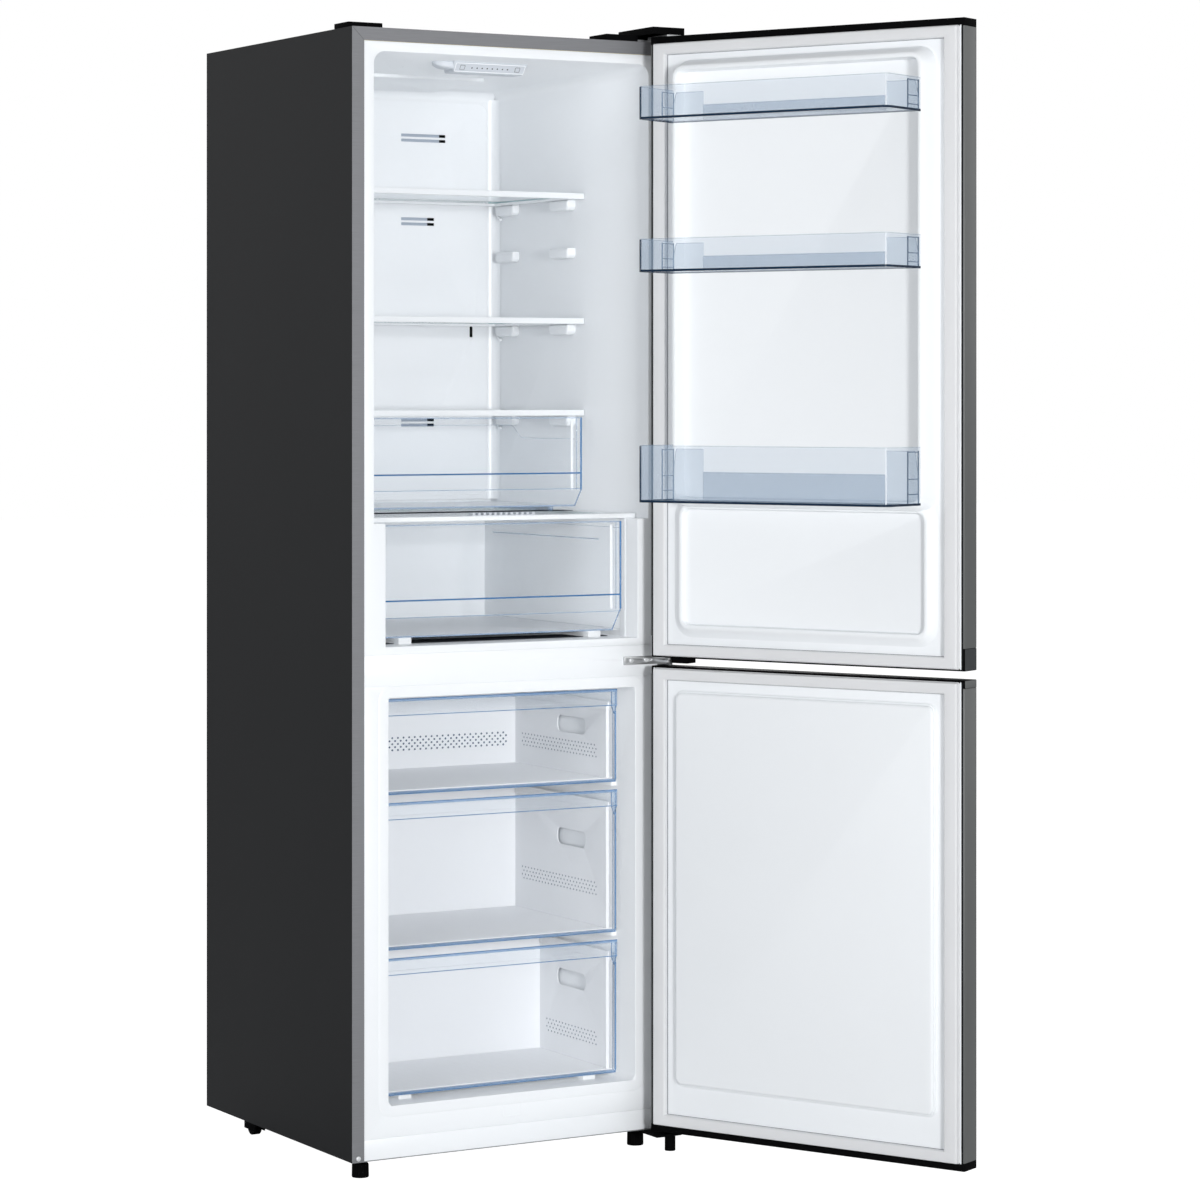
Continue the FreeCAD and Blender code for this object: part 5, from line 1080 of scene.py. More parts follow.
class FRIDGE_OT_crispers(bpy.types.Operator):
    """Crisper drawer and chiller drawer in clear plastic"""
    bl_idname = "fridge.make_crispers"
    bl_label = "Crisper and chiller"
    FACE, EDGE, FACE_INSET = 4 * MM, 0.9 * MM, 1.5 * MM
    # Each drawer: body, raise of its floor, side inset of the tub, cut corner, groove and foot line heights,
    # rim drop at the back and at the front, and the depths between which the rim steps.
    DRAWERS = {
        "crisper_drawer": ("crisper", 0.0, 2 * MM, (17 * MM, 36 * MM), 60 * MM, 32 * MM,
                           (11 * MM, 11 * MM), (0.3, 0.34)),
        "chiller_drawer": ("chiller", 7.7 * MM, 14 * MM, (13 * MM, 28 * MM), 57 * MM, 30 * MM,
                           (15 * MM, 37 * MM), (0.390, 0.435)),
    }
    TUB_LAP, TUB_BACK, TUB_CORNER, TUB_RISE, RIM_STATIONS = 0.2 * MM, 2 * MM, 10 * MM, 1 * MM, 8
    RIM_MARK, FOOT_MARK = 0.8, 0.4
    FLOOR_INSET, FLOOR_START, FLOOR_CORNER = 2 * MM, 1 * MM, 8 * MM
    FLOOR_THICK, FLOOR_EDGE = 0.8 * MM, 0.3 * MM
    BAND_DROP, BAND_START, BAND_END, BAND_TALL = 23 * MM, 70 * MM, 12 * MM, 1.6 * MM
    BAND_OUT, BAND_CORNER, BAND_EDGE, BAND_MARK = (-2.2 * MM, -0.4 * MM), 0.5 * MM, 0.4 * MM, 0.5
    # Bars on the face: half heights of the groove and foot lines, heights of the lowest and the top bar,
    # widths of the left and right bars and the place of a line inside the right one.
    LINE_INSET, GROOVE_HALF, FOOT_HALF, BASE_BAR, TOP_BAR = 1 * MM, 1.3 * MM, 0.5 * MM, 2.2 * MM, 1.8 * MM
    LEFT_BAR, RIGHT_BAR, RIGHT_LINE = 2.4 * MM, 3.4 * MM, (-11 * MM, -10 * MM)
    BAR_LEVELS = (-0.6 * MM, 0.5 * MM)
    RIB_RUN, RIB_TOP, RIB_CORNER, RIB_EDGE = (-19 * MM, -14 * MM), 6 * MM, 1.5 * MM, 0.6 * MM
    RIB_LEVELS = (-3 * MM, -1 * MM)
    RAIL, RAIL_START, RAIL_CORNER, RAIL_EDGE = (187 * MM, 197 * MM), 14 * MM, 2 * MM, 0.6 * MM
    RAIL_MARKS = (0.3, 0.5)

    def execute(self, context):
        look = finishes()
        for name, (body, lift, inset, cut, groove, foot, drops, step) in self.DRAWERS.items():
            x, y, z = spans(name)
            low, high = z[0] + lift, z[1]
            face = (y[0], y[0] + self.FACE)
            tub_x, tub_y = inner(x, inset), (face[1] - self.TUB_LAP, y[1] - self.TUB_BACK)
            floor = low + self.TUB_RISE
            self.tub(look, name, body, tub_x, tub_y, floor, high, drops, step)
            shell = Shell()
            if body == "crisper":
                level = high - drops[0] - self.BAND_DROP
                for sign in SIDES:
                    shell.slab(beside(sign, *counted(tub_x[1], self.BAND_OUT)),
                               (tub_y[0] + self.BAND_START, tub_y[1] - self.BAND_END), self.BAND_CORNER,
                               (level, level + self.BAND_TALL), self.BAND_EDGE, "z", self.BAND_MARK)
            self.face(look, shell, name, body, inner(x, self.FACE_INSET), face, (low, high), cut, groove,
                      foot)
            if lift:
                for sign in SIDES:
                    shell.slab(beside(sign, *self.RAIL), (y[0] + self.RAIL_START, y[1] - self.TUB_BACK),
                               self.RAIL_CORNER, (z[0], floor), self.RAIL_EDGE, "z", *self.RAIL_MARKS)
            shell.piece(f"clear_{name}", body, look.clear, "clear_plastic", (name,))
        return {"FINISHED"}

    def tub(self, look, name, body, x, y, floor, high, drops, step):
        """One thin wall carried round three sides, whose rim steps down towards the front on an S-curve,
        and a frosted floor."""
        path = u_path(x, y, self.TUB_CORNER, np.linspace(*step, self.RIM_STATIONS))
        share = smooth((path[:, 1] - step[0]) / (step[1] - step[0]))
        rim = high - drops[1] + (drops[1] - drops[0]) * share
        Shell().curtain(path, floor, rim, self.RIM_MARK, self.FOOT_MARK).piece(
            f"{name}_tub", body, look.clear, "clear_plastic", sheet=True)
        Shell().slab(inner(x, self.FLOOR_INSET), (y[0] + self.FLOOR_START, y[1] - self.FLOOR_INSET),
                     self.FLOOR_CORNER, (floor - self.FLOOR_THICK, floor), self.FLOOR_EDGE, "z").piece(
            f"{name}_floor", body, look.frost, "frosted_plastic")

    def face(self, look, shell, name, body, x, y, z, cut, groove, foot):
        """A plate whose lower corners are cut off, with edge bars, a groove line and a foot line, and a pale
        upright rib behind it."""
        (left, right), (low, high), front = x, z, -y[0]
        turn = low + cut[1]
        shell.plate([(left, turn), (left + cut[0], low), (right - cut[0], low), (right, turn), (right, high),
                     (left, high)], (-y[1], -y[0]), self.EDGE, "-y")
        shell.bars([(inner(x, self.LINE_INSET), about(low + groove, self.GROOVE_HALF), 1.0),
                    (inner(x, self.LINE_INSET), about(low + foot, self.FOOT_HALF), 0.6),
                    (inner(x, cut[0]), (low, low + self.BASE_BAR), 0.55),
                    (x, (high - self.TOP_BAR, high), 0.4),
                    ((left, left + self.LEFT_BAR), (turn, high), 0.8),
                    ((right - self.RIGHT_BAR, right), (turn, high), 0.9),
                    (counted(right, self.RIGHT_LINE), (turn, high), 0.5)], counted(front, self.BAR_LEVELS))
        Shell().slab(counted(right, self.RIB_RUN), (turn, high - self.RIB_TOP), self.RIB_CORNER,
                     counted(front - self.FACE, self.RIB_LEVELS), self.RIB_EDGE, "-y").piece(
            f"{name}_end_rib", body, look.frost, "clear_plastic")


class FRIDGE_OT_freezer_drawers(bpy.types.Operator):
    """Freezer drawers: white tubs with air holes and ribbed floors behind clear fronts"""
    bl_idname = "fridge.make_freezer_drawers"
    bl_label = "Freezer drawers"
    WALL, TUB_EDGE, TUB_MOUTH = 2.5 * MM, 0.8 * MM, 3 * MM
    RIB_PITCH, RIB_STEPS, RIB_POWER, RIB_INSET = 11 * MM, 320, 3, 5 * MM
    RIB_START, RIB_END, RIB_GAP = 8 * MM, 5 * MM, 0.1 * MM
    RIM_OUT, RIM_START, RIM_END, RIM_CORNER = (-2.5 * MM, 0.5 * MM), 14 * MM, 4 * MM, 1 * MM
    RIM_LEVELS, RIM_EDGE = (-15 * MM, -0.5 * MM), 0.8 * MM
    HOLE, HOLE_OUT, HOLE_PITCH, HOLE_ROW, HOLE_ROWS = 1.5 * MM, 0.15 * MM, 11 * MM, 6.6 * MM, 4
    HOLE_RISE = {"top": 37 * MM, "middle": 56 * MM, "bottom": 38 * MM}
    HOLE_RUN = (58 * MM, -24 * MM)
    BACK_HOLE, BACK_ROW, BACK_ROWS, BACK_DROP = 1.8 * MM, 5.3 * MM, 5, 1 * MM
    BACK_RUN = (22 * MM, -20 * MM)
    PANEL, PANEL_TOP, PANEL_CORNER, PANEL_EDGE = 4 * MM, 1 * MM, 4 * MM, 0.8 * MM
    # Bars on the panel: inset, heights of the foot rail and its dark foot, widths of the left and right
    # bars, how far the right one stays below the lip, and a line inside it.
    BAR_INSET, FOOT_BAR, FOOT_LINE, LEFT_BAR, RIGHT_BAR = 1 * MM, 5 * MM, 1.4 * MM, 2.2 * MM, 3.2 * MM
    RIGHT_DROP, RIGHT_LINE, BAR_HALF = 10 * MM, (-7 * MM, -6 * MM), 0.6 * MM
    PALE_RUN, PALE_RISE, PALE_DROP, PALE_CORNER = (-17 * MM, -11 * MM), 6 * MM, 1 * MM, 2 * MM
    PALE_LEVELS, PALE_EDGE = (-2.2 * MM, -0.4 * MM), 0.7 * MM
    PALE_INSET, PALE_LINE, PALE_HALF = 8 * MM, 1.4 * MM, 0.4 * MM
    # Lip along the top: its height, rails and end bar; then the beak's points from its end and the lip.
    LIP, LIP_CORNER, LIP_EDGE, LIP_MARKS = 28 * MM, 2 * MM, 0.6 * MM, (0.03, 0.3)
    LIP_START, LIP_END, RAIL_DEEP = 1 * MM, 0.5 * MM, 0.8 * MM
    TOP_RAIL, TOP_LINE, LOW_RAIL = (-4.6 * MM, 0), (-1.2 * MM, 0.2 * MM), 1.4 * MM
    END_BAR, END_DROP = 2 * MM, 3 * MM
    BEAK_WIDE, BEAK_TIP, BEAK_TOP, BEAK_ROOT = 11 * MM, (5.5 * MM, 14 * MM), 1 * MM, 1 * MM
    BEAK_RISE, BEAK_OUT, BEAK_EDGE, BEAK_MARKS = 2 * MM, 0.2 * MM, 0.7 * MM, (0.25, 0.9)

    def execute(self, context):
        look, size = finishes(), form()
        for level in ("top", "middle", "bottom"):
            x, y, z = spans(f"{level}_drawer_tub")
            mouth = y[0] + self.TUB_MOUTH
            soften(look.frost, self.TUB_EDGE, f"{level}_drawer_tub", drop=lambda spot: spot.y < mouth)
            self.ribs(look, level, x, y, z[0] + self.WALL + self.RIB_GAP, size.rib)
            rims, inside = Shell(), x[1] - self.WALL
            for sign in SIDES:
                rims.slab(beside(sign, *counted(inside, self.RIM_OUT)),
                          (y[0] + self.RIM_START, y[1] - self.RIM_END), self.RIM_CORNER,
                          counted(z[1], self.RIM_LEVELS), self.RIM_EDGE, "z")
            rims.piece(f"{level}_drawer_rims", f"{level}_drawer", look.frost, "frosted_plastic")
            self.air_holes(look, level, x, y, z[0] + self.HOLE_RISE[level])
            self.front(look, level)
        return {"FINISHED"}

    def ribs(self, look, level, x, y, floor, tall):
        """Floor: a wave of low ribs across the tub, carried from front to back."""
        deep = np.linspace(y[0] + self.RIB_START, y[1] - self.RIB_END, self.RIB_STEPS)
        wave = 0.5 + 0.5 * np.cos((deep - deep[0]) / self.RIB_PITCH * 2 * np.pi)
        lift = floor + tall * wave ** self.RIB_POWER
        edges = inner(x, self.RIB_INSET)[::-1]
        rows = [np.stack([np.full_like(deep, edge), deep, lift], -1) for edge in edges]
        Shell().sheet(np.stack(rows, 1)).piece(
            f"{level}_drawer_ribs", f"{level}_drawer", look.frost, "frosted_plastic", sheet=True)

    def staggered(self, span, run, low, row, rows):
        """A grid of places in rows a step apart, with every other row moved by half a pitch."""
        along, up = np.meshgrid(np.arange(span[0] + run[0], span[1] + run[1], self.HOLE_PITCH),
                                low + np.arange(rows) * row)
        along = along + (np.arange(rows) % 2)[:, None] * self.HOLE_PITCH / 2
        return along.ravel(), up.ravel()

    def air_holes(self, look, level, x, y, low):
        """Staggered dark dots, painted shade of the air holes, in a band on the side walls, and in the top
        drawer on the back wall.
        """
        holes = Shell()
        along, up = self.staggered(y, self.HOLE_RUN, low, self.HOLE_ROW, self.HOLE_ROWS)
        for sign, axis in zip(SIDES, ("-x", "x")):
            wall = np.full(along.size, sign * (x[1] - self.WALL))
            holes.dots(np.stack([wall, along, up], -1), self.HOLE, self.HOLE_OUT, axis)
        if level == "top":
            along, up = self.staggered(x, self.BACK_RUN, low - self.BACK_DROP, self.BACK_ROW, self.BACK_ROWS)
            wall = np.full(along.size, y[1] - self.WALL)
            holes.dots(np.stack([along, wall, up], -1), self.BACK_HOLE, self.HOLE_OUT, "-y")
        holes.piece(f"{level}_drawer_air_holes", f"{level}_drawer", look.hole, "frosted_plastic", sheet=True)

    def front(self, look, level):
        """A clear plate with a foot rail, end bars, a pull lip along its top and a beak at each end, and pale
        ribs behind it."""
        x, y, (low, high) = spans(f"{level}_drawer_front")
        panel, lip, lip_low = (-y[1], -y[0] - self.PANEL), -y[0], high - self.LIP
        out, foot = panel[1], low + self.FOOT_BAR
        front, pale = Shell(), Shell()
        front.slab(x, (low, high - self.PANEL_TOP), self.PANEL_CORNER, panel, self.PANEL_EDGE, "-y", 0.0, 1.0)
        front.bars([(inner(x, self.BAR_INSET), (low, foot), 0.55),
                    (inner(x, self.BAR_INSET), (low, low + self.FOOT_LINE), 1.0),
                    ((x[0], x[0] + self.LEFT_BAR), (foot, lip_low), 0.6),
                    ((x[1] - self.RIGHT_BAR, x[1]), (foot, lip_low - self.RIGHT_DROP), 0.7),
                    (counted(x[1], self.RIGHT_LINE), (foot, lip_low), 0.45)], about(out, self.BAR_HALF))
        rise = low + self.PALE_RISE
        pale.slab(counted(x[1], self.PALE_RUN), (rise, lip_low - self.PALE_DROP), self.PALE_CORNER,
                  counted(panel[0], self.PALE_LEVELS), self.PALE_EDGE, "-y")
        line = inner(x, self.PALE_INSET), (rise, rise + self.PALE_LINE), 0.0
        pale.bars([line], about(out, self.PALE_HALF))
        pale.piece(f"{level}_drawer_front_ribs", f"{level}_drawer", look.frost, "clear_plastic")
        front.slab(x, (lip_low, high), self.LIP_CORNER, (out + self.LIP_START, lip - self.LIP_END),
                   self.LIP_EDGE, "-y", *self.LIP_MARKS)
        front.bars([(x, counted(high, self.TOP_RAIL), 0.6), (x, counted(high, self.TOP_LINE), 1.0),
                    (x, (lip_low, lip_low + self.LOW_RAIL), 0.85),
                    ((x[0], x[0] + self.END_BAR), (lip_low - self.END_DROP, high), 0.95)],
                   (lip - self.RAIL_DEEP, lip))
        for sign in SIDES:
            end, root, tip = (sign * (x[1] - step) for step in (0, self.BEAK_WIDE, self.BEAK_TIP[0]))
            beak = [(root, high - self.BEAK_TOP), (root, lip_low - self.BEAK_ROOT),
                    (tip, lip_low - self.BEAK_TIP[1]), (end, lip_low + self.BEAK_RISE),
                    (end, high - self.BEAK_TOP)]
            front.plate(beak[::sign], counted(self.BEAK_OUT, (out, lip)), self.BEAK_EDGE, "-y",
                        *self.BEAK_MARKS)
        front.piece(f"{level}_drawer_clear_front", f"{level}_drawer", look.clear, "clear_plastic",
                    (f"{level}_drawer_front",))


class FRIDGE_OT_doors(bpy.types.Operator):
    """Door skins, caps, foam, seals and moulded liners"""
    bl_idname = "fridge.make_doors"
    bl_label = "Doors"
    # The fridge door's borders: half width, rise, rise of the sunken floor, level span and outer corner.
    DYKES = ((0.250, 0.010, 0.001, (0.8665, 1.1015), 34 * MM),
             (0.250, 0.030, 0.004, (1.078, 1.8275), 33 * MM))
    # A border's profile: how far in its slope and its crest end, and insets and heights from the foot, the
    # end of the slope, the end of the crest and the floor under that.
    DYKE_SLOPE, DYKE_CREST = 14 * MM, 20.5 * MM
    DYKE_FOOT = np.array([(0, -1), (0, 0), (1.5, 0.4)]) * MM
    DYKE_SHOULDER = np.array([(-2, -2.2), (0, -0.5), (2, 0)]) * MM
    DYKE_BROW = np.array([(-1.6, 0), (-0.4, -0.4), (0, -1.6)]) * MM
    DYKE_FLOOR = np.array([(1, 2.4), (1.8, 0.6), (4, 0)]) * MM
    # The freezer door's pad: half width, rise, level span and corner, then its rounds and its draft.
    FREEZER_PAD = (0.250, 0.009, (0.117, 0.77925), 18 * MM)
    PAD_EDGE_SHARE, PAD_FOOT, PAD_FOOT_SHARE, PAD_DRAFT, PAD_SUNK = 0.6, 3 * MM, 0.35, 2 * MM, 1 * MM
    PAD_STEPS = 6
    SEAL_WIDE, SEAL_END, SEAL_GROW, SEAL_CORNER = 25.5 * MM, 19.5 * MM, 1.2 * MM, 4 * MM
    SEAL_FOOT = np.array([(0, 0), (0, 1.6), (1, 2)]) * MM
    SEAL_ROUND, SEAL_STEPS, SEAL_OUTER, SEAL_INNER = 3 * MM, 5, 1.2 * MM, 0.4 * MM
    # Profile of the dark line along the seal's inner foot, a painted shadow.
    SEAL_SHADOW_LINE = np.array([(-0.5, 0), (-0.5, 0.9), (0.7, 0.9), (0.7, 0)]) * MM
    FLANGE_THICK, FLANGE_CORNER, FLANGE_EDGE = 2 * MM, 6 * MM, 0.5 * MM
    FOAM_GAP, FOAM_CORNER = 2.2 * MM, 2 * MM
    STOP, STOP_TALL, STOP_LAP = ((0.229, 0.262), (-0.044, -0.016)), 9 * MM, 0.5 * MM
    STOP_CORNER, STOP_EDGE = 3 * MM, 0.8 * MM
    END_INSET, END_CORNER, END_LEVELS = 0.6 * MM, 1 * MM, (-1 * MM, 0.4 * MM)
    # Strips beside the seal, a painted highlight and a painted shadow: distances from it, heights over
    # the flange, corner and edge.
    HIGHLIGHT_TRIM = ((0.2 * MM, 2.4 * MM), (-1 * MM, 0.8 * MM), 0.6 * MM, 0.4 * MM)
    SHADOW_SEAM = ((2.6 * MM, 5.6 * MM), (-1 * MM, 0.3 * MM), 0.4 * MM, 0.2 * MM)

    def execute(self, context):
        look, size = finishes(), form()
        for name in ("fridge", "freezer"):
            body = f"{name}_door"
            soften(look.door, size.sheet_edge, f"{name}_door_skin")
            soften(look.black, size.plastic_edge, f"{name}_door_top_cap", f"{name}_door_bottom_cap")
            x, y, z = shut_spans(f"{name}_door_gasket")
            z, face = inner(z, -self.SEAL_GROW), y[0]
            self.seal(look, name, body, x, y, z)
            self.strips(look, name, body, x[1], face, z)
            x, y, z = shut_spans(f"{name}_door_liner")
            Shell().slab(z, x, self.FLANGE_CORNER, (face - self.FLANGE_THICK, face), self.FLANGE_EDGE,
                         "y").swing().piece(
                f"{name}_door_liner_flange", body, look.liner, "white_liner", (f"{name}_door_liner",))
            pads = Shell()
            if name == "fridge":
                for half, rise, floor, span, corner in self.DYKES:
                    pads.carry(span, about(0, half), corner, self.dyke(face, rise, floor), "y")
            else:
                half, rise, span, corner = self.FREEZER_PAD
                pads.carry(span, about(0, half), corner, self.pad(face, rise, size.pad_edge), "y")
            pads.swing().piece(f"{name}_door_pads", body, look.pad, "white_liner")
            # Foam: a block that fills the skin up to the flange.
            x, y, z = shut_spans(f"{name}_door_foam")
            foam = Shell().slab(z, x, self.FOAM_CORNER, (y[0], face - self.FOAM_GAP), self.FLANGE_EDGE, "y")
            foam.swing().piece(
                f"{name}_door_foam_block", body, look.foam, "insulating_foam", (f"{name}_door_foam",))
        # Stop: a black block under the fridge door beside its lower hinge.
        low = shut_spans("fridge_door_bottom_cap")[2][0]
        Shell().slab(*self.STOP, self.STOP_CORNER, (low - self.STOP_TALL, low + self.STOP_LAP),
                     self.STOP_EDGE, "z").swing().piece(
            "fridge_door_stop", "fridge_door", look.black, "black_plastic")
        # Plates on the free ends of the two caps that face each other.
        for cap, material, slot in (("fridge_door_bottom_cap", look.cap_end, "black_plastic"),
                                    ("freezer_door_top_cap", look.door, "door_steel")):
            x, y, z = shut_spans(cap)
            Shell().slab(inner(z, self.END_INSET), inner(y, self.END_INSET), self.END_CORNER,
                         counted(-x[0], self.END_LEVELS), BAR_EDGE, "-x").swing().piece(
                f"{cap}_end", NODES[cap]["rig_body"], material, slot)
        return {"FINISHED"}

    def dyke(self, face, rise, floor):
        """Insets and heights of a border with a sunken middle: a sloping outer side up to a flat crest, an
        upright inner side and a flat floor, with small rounds between them."""
        return np.concatenate([self.DYKE_FOOT + [0, face],
                               self.DYKE_SHOULDER + [self.DYKE_SLOPE, face + rise],
                               self.DYKE_BROW + [self.DYKE_CREST, face + rise],
                               self.DYKE_FLOOR + [self.DYKE_CREST, face + floor]])

    def pad(self, face, rise, edge):
        """Insets and heights of a raised pad: a hollow quarter circle at its foot, a round one at its top."""
        edge, foot = min(edge, rise * self.PAD_EDGE_SHARE), min(self.PAD_FOOT, rise * self.PAD_FOOT_SHARE)
        sine, cosine = np.sin(quarter(self.PAD_STEPS)), np.cos(quarter(self.PAD_STEPS))
        hollow = np.stack([foot * sine, face + foot * (1 - cosine)], -1)
        over = np.stack([foot + self.PAD_DRAFT + edge * (1 - cosine), face + rise - edge * (1 - sine)], -1)
        return np.concatenate([[(0, face - self.PAD_SUNK)], hollow, over])

    def seal(self, look, name, body, x, y, z):
        """A broad flat-topped bulb carried round the door, narrower along its ends because it is drawn longer
        and pressed together, and a dark line along its inner foot: a painted shadow of the gap between
        seal and liner."""
        face, tall, wide, bend = y[0], y[1] - y[0], self.SEAL_WIDE, self.SEAL_ROUND
        sine, cosine = bend * np.sin(quarter(self.SEAL_STEPS)), bend * np.cos(quarter(self.SEAL_STEPS))
        profile = np.concatenate([
            self.SEAL_FOOT, np.stack([self.SEAL_OUTER + bend - cosine, tall - bend + sine], -1),
            np.stack([wide - self.SEAL_INNER - bend + sine, tall - bend + cosine], -1), [(wide, 0)]])
        middle, stretch = sum(z) / 2, wide / self.SEAL_END
        long = [middle + (level - middle) * stretch for level in z]
        for part, rows, material, kept in (("seal", profile, look.seal, (f"{name}_door_gasket",)),
                                           ("seal_line", self.SEAL_SHADOW_LINE + [wide, 0], look.seal_line, ())):
            loop = Shell().carry(long, x, self.SEAL_CORNER, rows + np.array([0, face]), "y", loop=True)
            loop.press(middle, 1 / stretch).swing().piece(f"{name}_door_{part}", body, material, "seal", kept)

    def strips(self, look, name, body, half, face, z):
        """Pale trim strips along both sides of the seal, a painted highlight of the door skin's folded edge,
        each with a narrow dark seam beside it, a painted shadow of the gap.
        """
        for part, (out, levels, corner, edge), material, slot in (
                # The pale strips paint a highlight, the dark ones paint a shadow.
                ("trims", self.HIGHLIGHT_TRIM, look.liner, "white_liner"),
                ("seams", self.SHADOW_SEAM, look.slot_dark, "black_plastic")):
            strips = Shell()
            for sign in SIDES:
                strips.slab(z, beside(sign, *counted(half, out)), corner, counted(face, levels), edge, "y")
            strips.swing().piece(f"{name}_door_{part}", body, material, slot)


class FRIDGE_OT_bins(bpy.types.Operator):
    """Clear door bins with low back walls and ribbed ends"""
    bl_idname = "fridge.make_bins"
    bl_label = "Door bins"
    WALL, CORNER, LAP = 2.4 * MM, 13 * MM, 0.2 * MM
    # Marks of the outer wall's rim and foot.
    WALL_MARKS = (0.4, 0.9)
    FOOT_TALL, FOOT_PROUD = 3.6 * MM, 0.5 * MM
    FLOOR_INSET, FLOOR_CORNER, FLOOR_EDGE, FLOOR_MARKS = 1 * MM, 11 * MM, 0.8 * MM, (0.1, 0.9)
    # Back wall: how far it stands over the seal's foot, its shares of the height in the middle and at the
    # ends, the run of an end and of the S-curve down to the middle, and marks of rim, foot and body.
    BACK_RISE, BACK_SHARE, END_SHARE, END_RUN, END_SLOPE = 30.6 * MM, 0.52, 0.93, 62 * MM, 8 * MM
    END_GAP, END_STEPS, BACK_MARKS, END_WALL_MARKS = 2 * MM, 40, (0.45, 0.3, 0.24), (0.45, 0.2, 0.04)
    RIB, RIB_DEEP, RIB_STEP, CROSS_SHARES, CROSS_FADE = 2.2 * MM, 1.6 * MM, 34 * MM, (0.2, 0.46, 0.92), 0.8
    END_MARKS = ((1, 0.55), (-1, 0.9))
    ROD_INSET, ROD, ROD_DROP, ROD_AROUND = 0.6 * MM, 1.6 * MM, 1 * MM, 10
    # Pale rod, a painted highlight: its radius and its drop from the top.
    PALE_ROD, PALE_DROP = 0.8 * MM, 0.5 * MM

    def execute(self, context):
        look = finishes()
        wall, back = self.WALL, shut_spans("fridge_door_gasket")[1][0] + self.BACK_RISE
        for level in ("upper", "middle", "lower"):
            x, y, (low, high) = shut_spans(f"{level}_door_bin")
            shell = Shell()
            shell.fence(u_path(x, (back, y[1]), self.CORNER), wall, low, high, *self.WALL_MARKS)
            # Foot bead along the outside, dark because light gathers there.
            proud = self.FOOT_PROUD
            bead = u_path(inner(x, -proud), (back, y[1] + proud), self.CORNER + proud)
            shell.fence(bead, wall + 2 * proud, low - self.LAP, low + self.FOOT_TALL, 1.0, 1.0, 1.0)
            shell.slab(inner(x, self.FLOOR_INSET), (back + self.LAP, y[1] - self.FLOOR_INSET),
                       self.FLOOR_CORNER, (low, low + wall), self.FLOOR_EDGE, "z", *self.FLOOR_MARKS)
            self.back_wall(shell, x[1], back + self.LAP, low, high - low)
            self.end_ribs(shell, x[1] - wall, back, low, high - low)
            # Rods in the two outer corners: a dark one marked like an edge, and a pale one, a painted
            # highlight on the rounded corner.
            reach = self.CORNER * (1 - math.sqrt(0.5)) + self.ROD_INSET
            rod = [(self.ROD, low), (self.ROD, high - self.ROD_DROP)]
            shell.lathe((x[1] - reach, y[1] - reach, 0), rod, "z", self.ROD_AROUND, 1.0)
            rod = [(self.PALE_ROD, low + self.FOOT_TALL), (self.PALE_ROD, high - self.PALE_DROP)]
            pale = Shell().lathe((x[0] + reach, y[1] - reach, 0), rod, "z", self.ROD_AROUND)
            pale.swing().piece(f"{level}_bin_corner", f"{level}_bin", look.frost, "clear_plastic")
            shell.swing().piece(f"{level}_bin_clear", f"{level}_bin", look.bin, "clear_plastic",
                                (f"{level}_door_bin",))
        return {"FINISHED"}

    def back_wall(self, shell, half, back, low, tall):
        """A low middle between two ends that fall to it on an S-curve."""
        stop, floor = half - self.END_RUN, low + self.WALL
        shell.fence([(-stop, back), (stop, back)], self.WALL, floor, low + tall * self.BACK_SHARE,
                    *self.BACK_MARKS)
        for sign in SIDES:
            across = np.linspace(stop, half - self.END_GAP, self.END_STEPS)[::sign] * sign
            rise = smooth((np.abs(across) - stop) / self.END_SLOPE)
            share = self.BACK_SHARE + (self.END_SHARE - self.BACK_SHARE) * rise
            line = np.stack([across, np.full(len(across), back)], -1)
            shell.fence(line, self.WALL, floor, low + tall * share[::-1], *self.END_WALL_MARKS)

    def end_ribs(self, shell, inside, back, low, tall):
        """Two uprights and cross bars on the inside of each end wall."""
        for sign, mark in self.END_MARKS:
            plate = beside(sign, inside, inside - self.RIB_DEEP)
            for step in (0.0, self.RIB_STEP):
                shell.slab(plate, (back + step, back + step + self.RIB), BAR_CORNER,
                           (low + self.WALL, low + tall * self.END_SHARE), BAR_EDGE, "z", mark)
            for share in self.CROSS_SHARES:
                bar = low + tall * share
                shell.slab(plate, (back + self.RIB, back + self.RIB_STEP), BAR_CORNER,
                           (bar - self.RIB_DEEP, bar), BAR_EDGE, "z", mark * self.CROSS_FADE)


class FRIDGE_OT_hinges(bpy.types.Operator):
    """Hinges, screws and the covers on top"""
    bl_idname = "fridge.make_hinges"
    bl_label = "Hinges"
    PLATE_EDGE, COVER_EDGE = 0.6 * MM, 0.9 * MM

    def execute(self, context):
        look = finishes()
        soften(look.steel, self.PLATE_EDGE, "middle_hinge", "top_hinge_bracket")
        soften(look.screw, self.PLATE_EDGE, "hinge_screws")
        soften(look.black, self.PLATE_EDGE, "bottom_hinge")
        soften(look.black, self.COVER_EDGE, "top_covers")
        return {"FINISHED"}


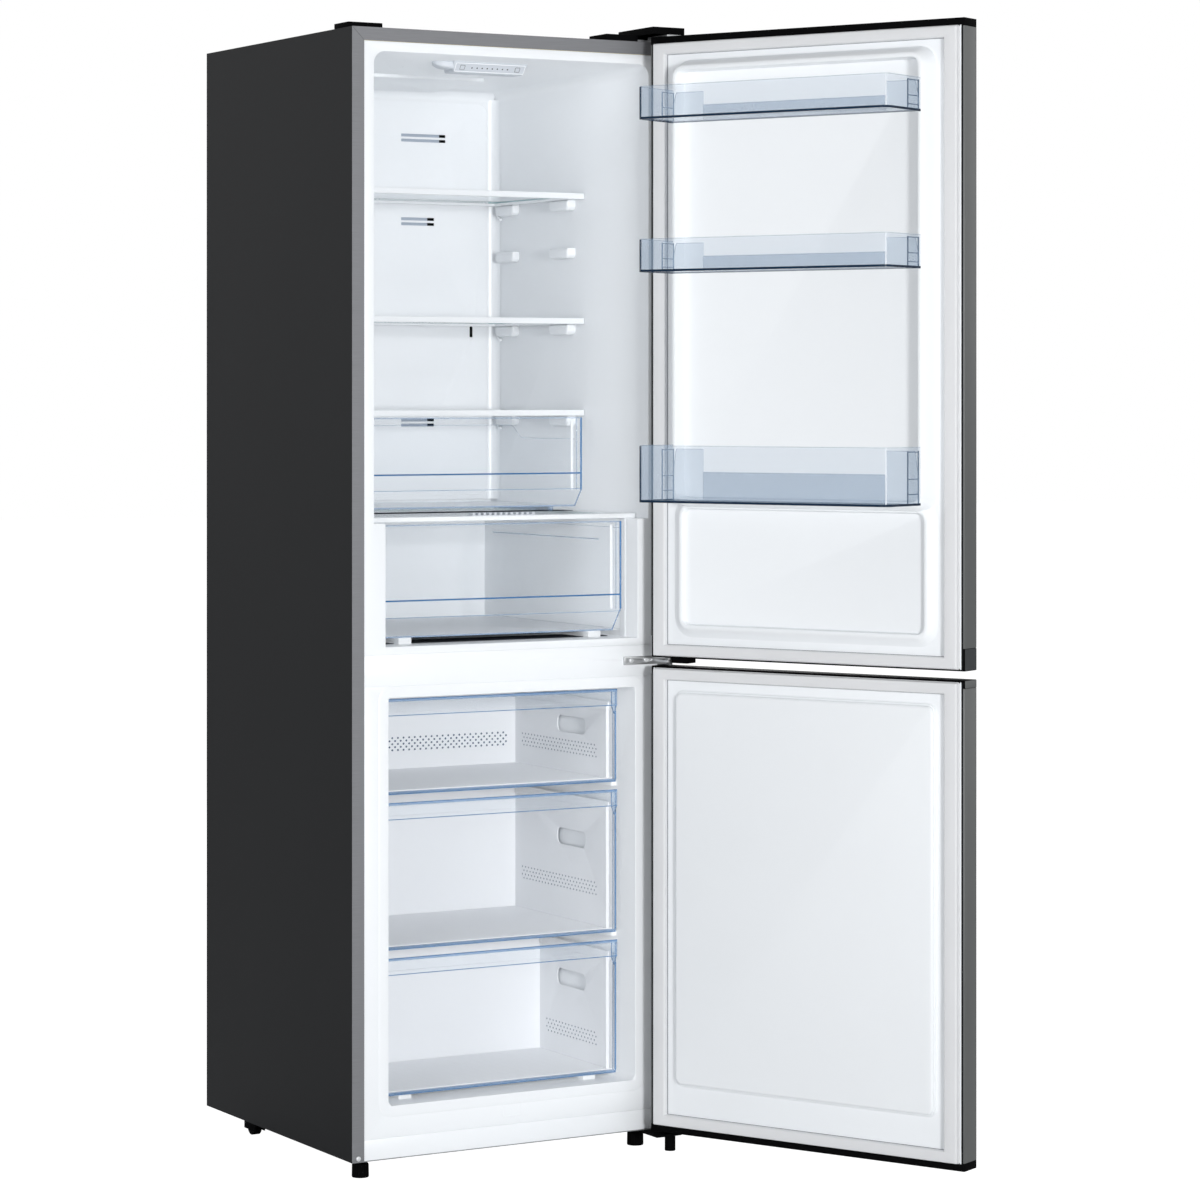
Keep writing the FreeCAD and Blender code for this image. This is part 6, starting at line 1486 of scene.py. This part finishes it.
class FRIDGE_OT_feet(bpy.types.Operator):
    """Levelling feet, rollers and their brackets"""
    bl_idname = "fridge.make_feet"
    bl_label = "Feet and rollers"
    GRIPS, GRIP_DEEP, GRIP_STEPS, STEM_GAP = 18, 1.0 * MM, 6, 0.1 * MM
    # Knob sections from the floor up: share of the radius, height in millimetres, and 1 where it is knurled.
    KNOB = np.array([(0.86, 0.0, 0), (0.97, 0.0, 0), (1.0, 1.4, 0), (1.0, 3.0, 0), (1.0, 3.6, 1),
                     (0.98, 20.0, 1), (0.94, 21.5, 1), (0.86, 22.5, 0), (0.45, 23.0, 0), (0.4, 30.0, 0)])
    TYRE_EDGE, BRACKET_EDGE = 0.8 * MM, 0.4 * MM

    def execute(self, context):
        look = finishes()
        share, height, knurled = self.KNOB.T
        for side in ("left", "right"):
            # Foot: a knurled knob, whose radius waves round the axis, under a plain neck and the stem.
            x, y, z = spans(f"front_{side}_foot")
            around = self.GRIPS * self.GRIP_STEPS
            turn = np.linspace(0, 2 * np.pi, around, endpoint=False)
            radius = (x[1] - x[0]) / 2
            wave = 1 - self.GRIP_DEEP / radius * (0.5 + 0.5 * np.cos(turn * self.GRIPS))
            shape = share[:, None] * np.where(knurled[:, None] > 0, wave[None, :], 1.0) * radius
            centre = np.array([(x[0] + x[1]) / 2, (y[0] + y[1]) / 2, 0.0])
            level = np.minimum(z[0] + height * MM, z[1] - self.STEM_GAP)
            Shell().loft(stand(shape[..., None] * circle(around)[None], level, "z") + centre).piece(
                f"front_{side}_foot_knob", f"{side}_foot", look.black, "black_plastic",
                (f"front_{side}_foot",))
        soften(look.rubber, self.TYRE_EDGE, "rear_left_roller", "rear_right_roller")
        soften(look.black, self.BRACKET_EDGE, "roller_brackets")
        return {"FINISHED"}


class FRIDGE_OT_cooling(bpy.types.Operator):
    """Compressor set, evaporator and fan"""
    bl_idname = "fridge.make_cooling"
    bl_label = "Cooling"
    POT_EDGE, MOUNT_EDGE, TRAY_EDGE = 1.5 * MM, 1.0 * MM, 0.8 * MM

    def execute(self, context):
        look = finishes()
        soften(look.pot, self.POT_EDGE, "compressor")
        soften(look.rubber, self.MOUNT_EDGE, "compressor_mounts")
        soften(look.black, self.TRAY_EDGE, "drip_tray", "fan_motor")
        dress(look.black, "fan_rotor")
        dress(look.coil, "evaporator")
        return {"FINISHED"}


STEPS = (FRIDGE_OT_stage, FRIDGE_OT_cabinet, FRIDGE_OT_liners, FRIDGE_OT_console, FRIDGE_OT_shelves,
         FRIDGE_OT_crispers, FRIDGE_OT_freezer_drawers, FRIDGE_OT_doors, FRIDGE_OT_bins, FRIDGE_OT_hinges,
         FRIDGE_OT_feet, FRIDGE_OT_cooling)


class FRIDGE_PT_looks(bpy.types.Panel):
    """Lists the fridge freezer's settings and building steps"""
    bl_idname = "FRIDGE_PT_looks"
    bl_label = "Fridge Freezer"
    bl_space_type = "VIEW_3D"
    bl_region_type = "UI"
    bl_category = "Fridge"

    def draw(self, context):
        for group in (context.scene.fridge_finish, context.scene.fridge_form, context.scene.fridge_stage):
            box = self.layout.box()
            for word in group.__annotations__:
                box.prop(group, word)
        for step in STEPS:
            self.layout.operator(step.bl_idname)


SETTINGS = {"fridge_finish": FinishSettings, "fridge_form": FormSettings, "fridge_stage": StageSettings}


def register():
    for kind in (*SETTINGS.values(), *STEPS, FRIDGE_PT_looks):
        bpy.utils.register_class(kind)
    for word, kind in SETTINGS.items():
        setattr(bpy.types.Scene, word, bpy.props.PointerProperty(type=kind))


def unregister():
    for word in SETTINGS:
        delattr(bpy.types.Scene, word)
    for kind in reversed((*SETTINGS.values(), *STEPS, FRIDGE_PT_looks)):
        bpy.utils.unregister_class(kind)


def main():
    register()
    for step in STEPS:
        group, word = step.bl_idname.split(".")
        getattr(getattr(bpy.ops, group), word)()


if __name__ == "__main__":
    main()
